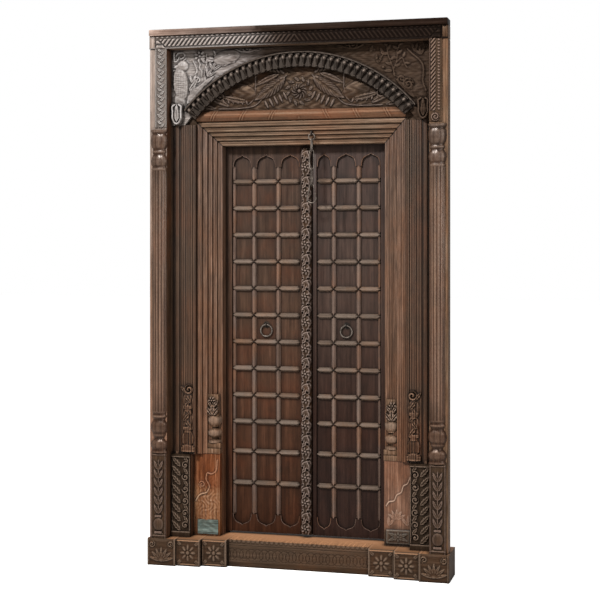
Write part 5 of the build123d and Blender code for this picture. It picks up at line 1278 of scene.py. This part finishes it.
# door leaves: lattice of pointed bars with nail heads, arched rails, carved cover strip
leafSizes = {"panel": 208, "barFront": 190, "barHalf": 13, "barReach": 11.5, "uprightHalf": 11,
             "uprightFront": 192, "uprightStrip": 202, "halfBar": 8, "halfBarFront": 196, "tipGap": 0.5,
             "lines": (352, 247.6, 131.2), "leftMeeting": -26, "rightMeeting": 51, "rowTop": 1751,
             "rowPitch": 123.31, "rowCount": 10, "rowFoot": (138.5, 145.4), "topSpring": 1817, "topTip": 1876,
             "footSpring": 214, "footTip": 159, "railFront": 196, "low": 131, "high": 1939, "margin": 4}
ogee = [(0.0, 0.0), (0.01, 0.24), (0.04, 0.45), (0.1, 0.62), (0.19, 0.735), (0.3, 0.815), (0.4, 0.875),
        (0.46, 0.93), (0.5, 1.0)]
barRows = [leafSizes["rowTop"] - k * leafSizes["rowPitch"] for k in range(leafSizes["rowCount"])]
for pitch in leafSizes["rowFoot"]:
    barRows.append(barRows[-1] - pitch)


def fieldLines(side):
    meeting = leafSizes["leftMeeting"] if side < 0 else leafSizes["rightMeeting"]
    return sorted([side * line for line in leafSizes["lines"]] + [meeting])


# rise, width, tip and rubbed share (rubbed wear with a painted highlight)
hips = ((0, 1.0, 0, 0), (0.35, 1.0, 0, 0.1), (0.94, 0.5, 4, 1), (1, 0.4, 5, 0.8))


def hippedBar(bm, start, end, line, half, front, upright, wear):
    # a bar pointed at both ends, with a flat along its ridge; the rubbed share, which is wear and a painted
    # highlight, is kept on the corners
    panel, loops = leafSizes["panel"], []
    worn = bm.verts.layers.float.get("worn") or bm.verts.layers.float.new("worn")
    for rise, wide, tip, rubAndHighlight in hips:
        reach, depth = half * wide, panel - rise * (panel - front)
        plan = [(start + tip, 0), (start + tip + half, -reach), (end - tip - half, -reach), (end - tip, 0),
                (end - tip - half, reach), (start + tip + half, reach)]
        corners = [spot(line + off, depth, along) if upright else spot(along, depth, line + off)
                   for along, off in plan]
        verts = [bm.verts.new(corner) for corner in corners]
        for vert in verts:
            vert[worn] = rubAndHighlight * wear
        loops.append([bm.edges.new(pair) for pair in zip(verts, verts[1:] + verts[:1])])
    bridgeUp(bm, loops)


def crossBars(side):
    bm = bmesh.new()
    ends, tip = fieldLines(side), leafSizes["tipGap"]
    for row, z in enumerate(barRows):
        for column, (low, high) in enumerate(zip(ends, ends[1:])):
            hippedBar(bm, low + tip, high - tip, z, leafSizes["barReach"], leafSizes["barFront"], False,
                      0.3 + 0.7 * (0.618 * (3 * row + column) % 1))
    bmesh.ops.recalc_face_normals(bm, faces=bm.faces)
    name = sides[side] + "_lattice_cross_bars"
    mesh = toMesh(name, bm)
    placePiece(name + "_hipped", mesh, woods["teakHippedLevel"], body=sides[side] + "_leaf", stands=[name],
               slot="leaf_wood", smooth=20)


def uprights(side):
    bm = bmesh.new()
    stops = [leafSizes["footSpring"] - 8] + barRows[::-1] + [leafSizes["topSpring"] + 8]
    tip = leafSizes["tipGap"]
    for line in leafSizes["lines"][1:]:
        x, half = side * line, leafSizes["uprightHalf"]
        # a low strip keeps the upright in one piece behind the hipped lengths
        outline = [(x - half, leafSizes["panel"]), (x - half / 2, leafSizes["uprightStrip"]),
                   (x + half / 2, leafSizes["uprightStrip"]), (x + half, leafSizes["panel"])]
        prism(bm, [spot(px, depth, leafSizes["footSpring"]) for px, depth in outline],
              (0, 0, (leafSizes["topSpring"] - leafSizes["footSpring"]) * mm))
        for row, (low, high) in enumerate(zip(stops, stops[1:])):
            hippedBar(bm, low + tip, high - tip, x, half, leafSizes["uprightFront"], True,
                      0.25 + 0.75 * (0.618 * (row + line) % 1))
    for low, high in zip(stops, stops[1:]):             # half bars against the hinge stile
        hippedBar(bm, low + tip, high - tip, side * (leafSizes["lines"][0] - leafSizes["halfBar"]),
                  leafSizes["halfBar"], leafSizes["halfBarFront"], True, 0.2)
    bmesh.ops.recalc_face_normals(bm, faces=bm.faces)
    name = sides[side] + "_lattice_uprights"
    mesh = toMesh(name, bm)
    placePiece(name + "_hipped", mesh, woods["teakHippedUpright"], body=sides[side] + "_leaf", stands=[name],
               slot="leaf_wood", smooth=20)


def arches(side, label, spring, tip, end):
    ends, margin = fieldLines(side), leafSizes["margin"]
    edge = [(ends[0], spring)]
    for index in range(3):
        low = ends[index] + (leafSizes["barHalf"] if index > 0 else margin)
        high = ends[index + 1] - (leafSizes["barHalf"] if index < 2 else margin)
        curve = [(low + a * (high - low), spring + b * (tip - spring)) for a, b in ogee]
        edge += curve + [(high + low - x, z) for x, z in curve[-2::-1]]
    edge += [(ends[3], spring), (ends[3], end), (ends[0], end)]
    bm = bmesh.new()
    prism(bm, [spot(x, leafSizes["panel"], z) for x, z in edge],
          (0, (leafSizes["railFront"] - leafSizes["panel"]) * mm, 0))
    name = sides[side] + "_leaf_" + label
    placePiece(name + "_arched", toMesh(name, bm), woods["teakSawnWarm" if side < 0 else "teakSawnShaded"],
               body=sides[side] + "_leaf", stands=[name], slot="leaf_wood", smooth=20)
    for index in range(3):                              # a raised line follows each arch
        curve = [corner for corner in edge if ends[index] < corner[0] < ends[index + 1]]
        path = [(x, spring - z) for x, z in curve]
        wire(name + "_line", path, 1.8, (0, leafSizes["railFront"] + 0.6, spring), (1, 0, 0), (0, 1, 0),
             closed=False, body=sides[side] + "_leaf", material=woods["teakHippedUpright"], slot="leaf_wood")


nail = {"radius": 4, "rise": 3, "sunk": 1,
        "dome": [(0.0, 1.0), (0.35, 0.98), (0.65, 0.8), (0.88, 0.45), (1.0, 0.0)]}


def nailHeads(side):
    bm = bmesh.new()
    verts = [bm.verts.new((out * nail["radius"] * mm, -up * nail["rise"] * mm, 0))
             for out, up in nail["dome"]]
    verts.append(bm.verts.new((0, nail["sunk"] * mm, 0)))
    edges = [bm.edges.new(pair) for pair in zip(verts, verts[1:])]
    bmesh.ops.spin(bm, geom=verts + edges, cent=(0, 0, 0), axis=(0, 1, 0), angle=2 * pi, steps=10,
                   use_merge=True)
    bmesh.ops.remove_doubles(bm, verts=bm.verts, dist=1e-6)
    bmesh.ops.recalc_face_normals(bm, faces=bm.faces)
    places = [Matrix.Translation(spot(side * line, leafSizes["uprightFront"], z))
              for z in barRows for line in leafSizes["lines"][1:]]
    repeat(sides[side] + "_nail_heads", toMesh("nail", bm), places, iron, body=sides[side] + "_leaf",
           slot="iron", smooth=50)


tongues = {"half": 5, "front": 218, "back": 227, "foot": 136, "head": 1934, "slit": (29, 31.8),
           "slitFront": 222, "slitBack": 234}
for side in sides:
    meeting = leafSizes["leftMeeting"] if side < 0 else leafSizes["rightMeeting"]
    for x in (side * leafSizes["lines"][0], meeting):    # tongues that close the joints of planks and stiles
        board(sides[side] + "_plank_tongue", (spot(x - tongues["half"], tongues["front"], tongues["foot"]),
                                              spot(x + tongues["half"], tongues["back"], tongues["head"])),
              woods["teakSawnWarm"], 1, body=sides[side] + "_leaf", slot="leaf_wood")
    if side < 0:                                         # and one that narrows the slit between the leaves
        board("left_meeting_tongue", (spot(tongues["slit"][0], tongues["slitFront"], tongues["foot"]),
                                      spot(tongues["slit"][1], tongues["slitBack"], tongues["head"])),
              woods["teakSawnWarm"], 0.6, body="left_leaf", slot="leaf_wood")
    crossBars(side)
    uprights(side)
    arches(side, "top_rail", leafSizes["topSpring"], leafSizes["topTip"], leafSizes["high"])
    arches(side, "foot_rail", leafSizes["footSpring"], leafSizes["footTip"], leafSizes["low"])
    nailHeads(side)
print("lattice")

# astragal: flowers and slanting leaves on a bevelled strip
astragal = {"low": -20, "high": 30, "foot": 136, "head": 1900, "back": 196, "pitch": 118}


def astragalShape(x, z):
    return np.interp(x, [-20, -19.8, -11, 21, 29.8, 30], [186, 183, 171, 171, 183, 186]), astragal["back"]


def astragalStrokes(x, z):
    middle = (astragal["low"] + astragal["high"]) / 2
    local = (z - astragal["foot"]) % astragal["pitch"]
    parts = [flower(x, local, (middle, 26), 23, 6, 8, 0.4), dome(x, local, (middle, 26), (7, 7), 9),
             leaf(x, local, (middle - 14, 46), 58, 64, 24, 8.5, bend=0.15, vein=0.3, ribs=3),
             leaf(x, local, (middle + 16, 52), 104, 48, 19, 8, bend=-0.1, vein=0.3, ribs=3),
             leaf(x, local, (middle - 18, 82), 28, 40, 17, 8, vein=0.3)]
    pits = ((9, 60, 6), (-13, 68, 5), (12, 106, 6), (-14, 108, 4))
    holes = highest(np.hypot(x - middle - across, local - up) < size for across, up, size in pits)
    waist = 18 + 6 * np.cos(4 * pi * (local - 26) / astragal["pitch"])
    return highest(parts) - 9 * holes - 7 * np.clip((np.abs(x - middle) - waist) / 4, 0, 1)


carve("astragal_carved", lines((astragal["low"], astragal["high"], 1.6)),
      lines((astragal["foot"], astragal["head"], 2)), astragalShape, astragalStrokes,
      woods["teakCarvedCover"], crest=2.4, body="left_leaf", stands=["astragal"], slot="leaf_wood")
print("astragal")


# ironwork along the same paths as the solids
def arc(centre, radius, start, end, steps):
    return [(centre + radius * cos(radians(start + (end - start) * k / steps)),
             radius * sin(radians(start + (end - start) * k / steps))) for k in range(steps + 1)]


ironwork = {"ringX": 189.4, "ringDepth": 200, "ringTop": 1090.62, "ringRadius": 27, "ringWire": 3.9,
            "chainX": 52, "chainDepth": 101, "chainWire": 3.05,
            "tops": (1960.49, 1939.79, 1887.09, 1807.39, 1732.69), "lengths": (60, 87, 82), "linkHalf": 9.5,
            "haspLength": 84, "haspTop": 9, "haspFoot": 21, "chainRing": 14}
for side in sides:
    centre = (side * ironwork["ringX"], ironwork["ringDepth"], ironwork["ringTop"] - ironwork["ringRadius"])
    wire(sides[side] + "_ring_round", arc(0, ironwork["ringRadius"], 0, 352.5, 47), ironwork["ringWire"],
         centre, (0, 0, 1), (0, 1, 0), [sides[side] + "_pull_ring"], body=sides[side] + "_ring",
         material=chainIron)
chain = ironwork["chainX"], ironwork["chainDepth"]
wire("chain_ring_round", arc(0, ironwork["chainRing"], 0, 348.75, 31), ironwork["chainWire"],
     (*chain, ironwork["tops"][0] - ironwork["chainRing"]), (0, 0, -1), (0, 1, 0), ["chain_ring"],
     body="chain_ring", material=chainIron)
for index, name in enumerate(("upper", "middle", "lower")):
    length, half = ironwork["lengths"][index], ironwork["linkHalf"]
    path = arc(half, half, 90, 270, 12) + arc(length - half, half, 270, 450, 12)
    wire("chain_link_" + name + "_round", path, ironwork["chainWire"], (*chain, ironwork["tops"][index + 1]),
         (0, 0, -1), (1, 0, 0) if index % 2 == 0 else (0, 1, 0), ["chain_link_" + name],
         body="chain_link_" + name, material=chainIron)
path = arc(ironwork["haspTop"], ironwork["haspTop"], 90, 270, 12)
path += arc(ironwork["haspLength"] - ironwork["haspFoot"], ironwork["haspFoot"], 270, 450, 20)
wire("chain_hasp_round", path, ironwork["chainWire"], (*chain, ironwork["tops"][4]), (0, 0, -1), (0, 1, 0),
     ["chain_hasp"], body="chain_hasp", material=chainIron)
print("ironwork")

# remaining solids take a finish of their own
finishes = {"plank": "teakSawnWarm", "hinge": "teakSawnWarm", "ledge": "teakSawnWarm", "staple": None}
for name, node in nodes.items():
    finish = next((value for key, value in finishes.items() if key in name), "teakPlaned")
    if finish == "teakSawnWarm" and name.startswith("right"):
        finish = "teakSawnShaded"
    node.data.materials.clear()
    node.data.materials.append(woods[finish] if finish else iron)

# studio: a pale floor that shows white with a faint shadow, and soft light from above and in front
studio = {"world": 0.22, "key": 480, "fill": 120, "floorGlow": 0.82, "glossShare": 0.25}


def paleFloor():
    bm = bmesh.new()
    bmesh.ops.create_grid(bm, x_segments=2, y_segments=2, size=30)
    mesh = toMesh("paleFloor", bm)
    floor = bpy.data.objects.new("paleFloor", mesh)
    bpy.context.scene.collection.objects.link(floor)
    # matt white paper: even and white to the eye, with the faint shadow of the door on it
    material, tree, shader = newMaterial("whitePaperFloor")
    shader.inputs["Base Color"].default_value = toLinear("e8e6e3")
    shader.inputs["Roughness"].default_value = 0.9
    glow = addNode(tree, "Emission", {"Color": toLinear("ffffff"), "Strength": studio["floorGlow"]})
    bright = addNode(tree, "AddShader", {}, {0: shader.outputs[0], 1: glow.outputs[0]})
    seen = addNode(tree, "LightPath").outputs["Is Camera Ray"]
    either = addNode(tree, "MixShader", {}, {0: seen, 1: shader.outputs[0], 2: bright.outputs[0]})
    tree.links.new(either.outputs[0], tree.nodes["Material Output"].inputs[0])
    mesh.materials.append(material)


def lamp(name, place, aim, size, power):
    data = bpy.data.lights.new(name, "AREA")
    data.shape, data.size, data.energy = "DISK", size, power
    item = bpy.data.objects.new(name, data)
    item.location = place
    item.rotation_euler = (Vector(aim) - Vector(place)).to_track_quat("-Z", "Y").to_euler()
    bpy.context.scene.collection.objects.link(item)


paleFloor()
lamp("keyLamp", (-1.4, -4.6, 5.0), (0, 0, 1.2), 1.0, studio["key"])
lamp("fillLamp", (3.6, -4.4, 2.6), (0, 0, 1.1), 3.0, studio["fill"])
world = bpy.data.worlds.new("paleWorld")
bpy.context.scene.world = world
world.use_nodes = True
tree = world.node_tree
tree.nodes.clear()
rays = addNode(tree, "LightPath")
through = addNode(tree, "Math", {"operation": "MAXIMUM"},
                  {0: rays.outputs["Is Camera Ray"], 1: rays.outputs["Is Transmission Ray"]})
# reflections see part of the white too, so that the iron shows it and the dark wood isn't washed out
shown = addNode(tree, "Math", {"operation": "MULTIPLY_ADD", 1: studio["glossShare"]},
                {0: rays.outputs["Is Glossy Ray"], 2: through.outputs[0]})
soft = addNode(tree, "Background", {"Color": toLinear("ffffff"), "Strength": studio["world"]})
white = addNode(tree, "Background", {"Color": toLinear("ffffff"), "Strength": 1.0})
either = addNode(tree, "MixShader", {}, {0: shown.outputs[0], 1: soft.outputs[0], 2: white.outputs[0]})
addNode(tree, "OutputWorld", {}, {"Surface": either.outputs[0]})
print("studio")
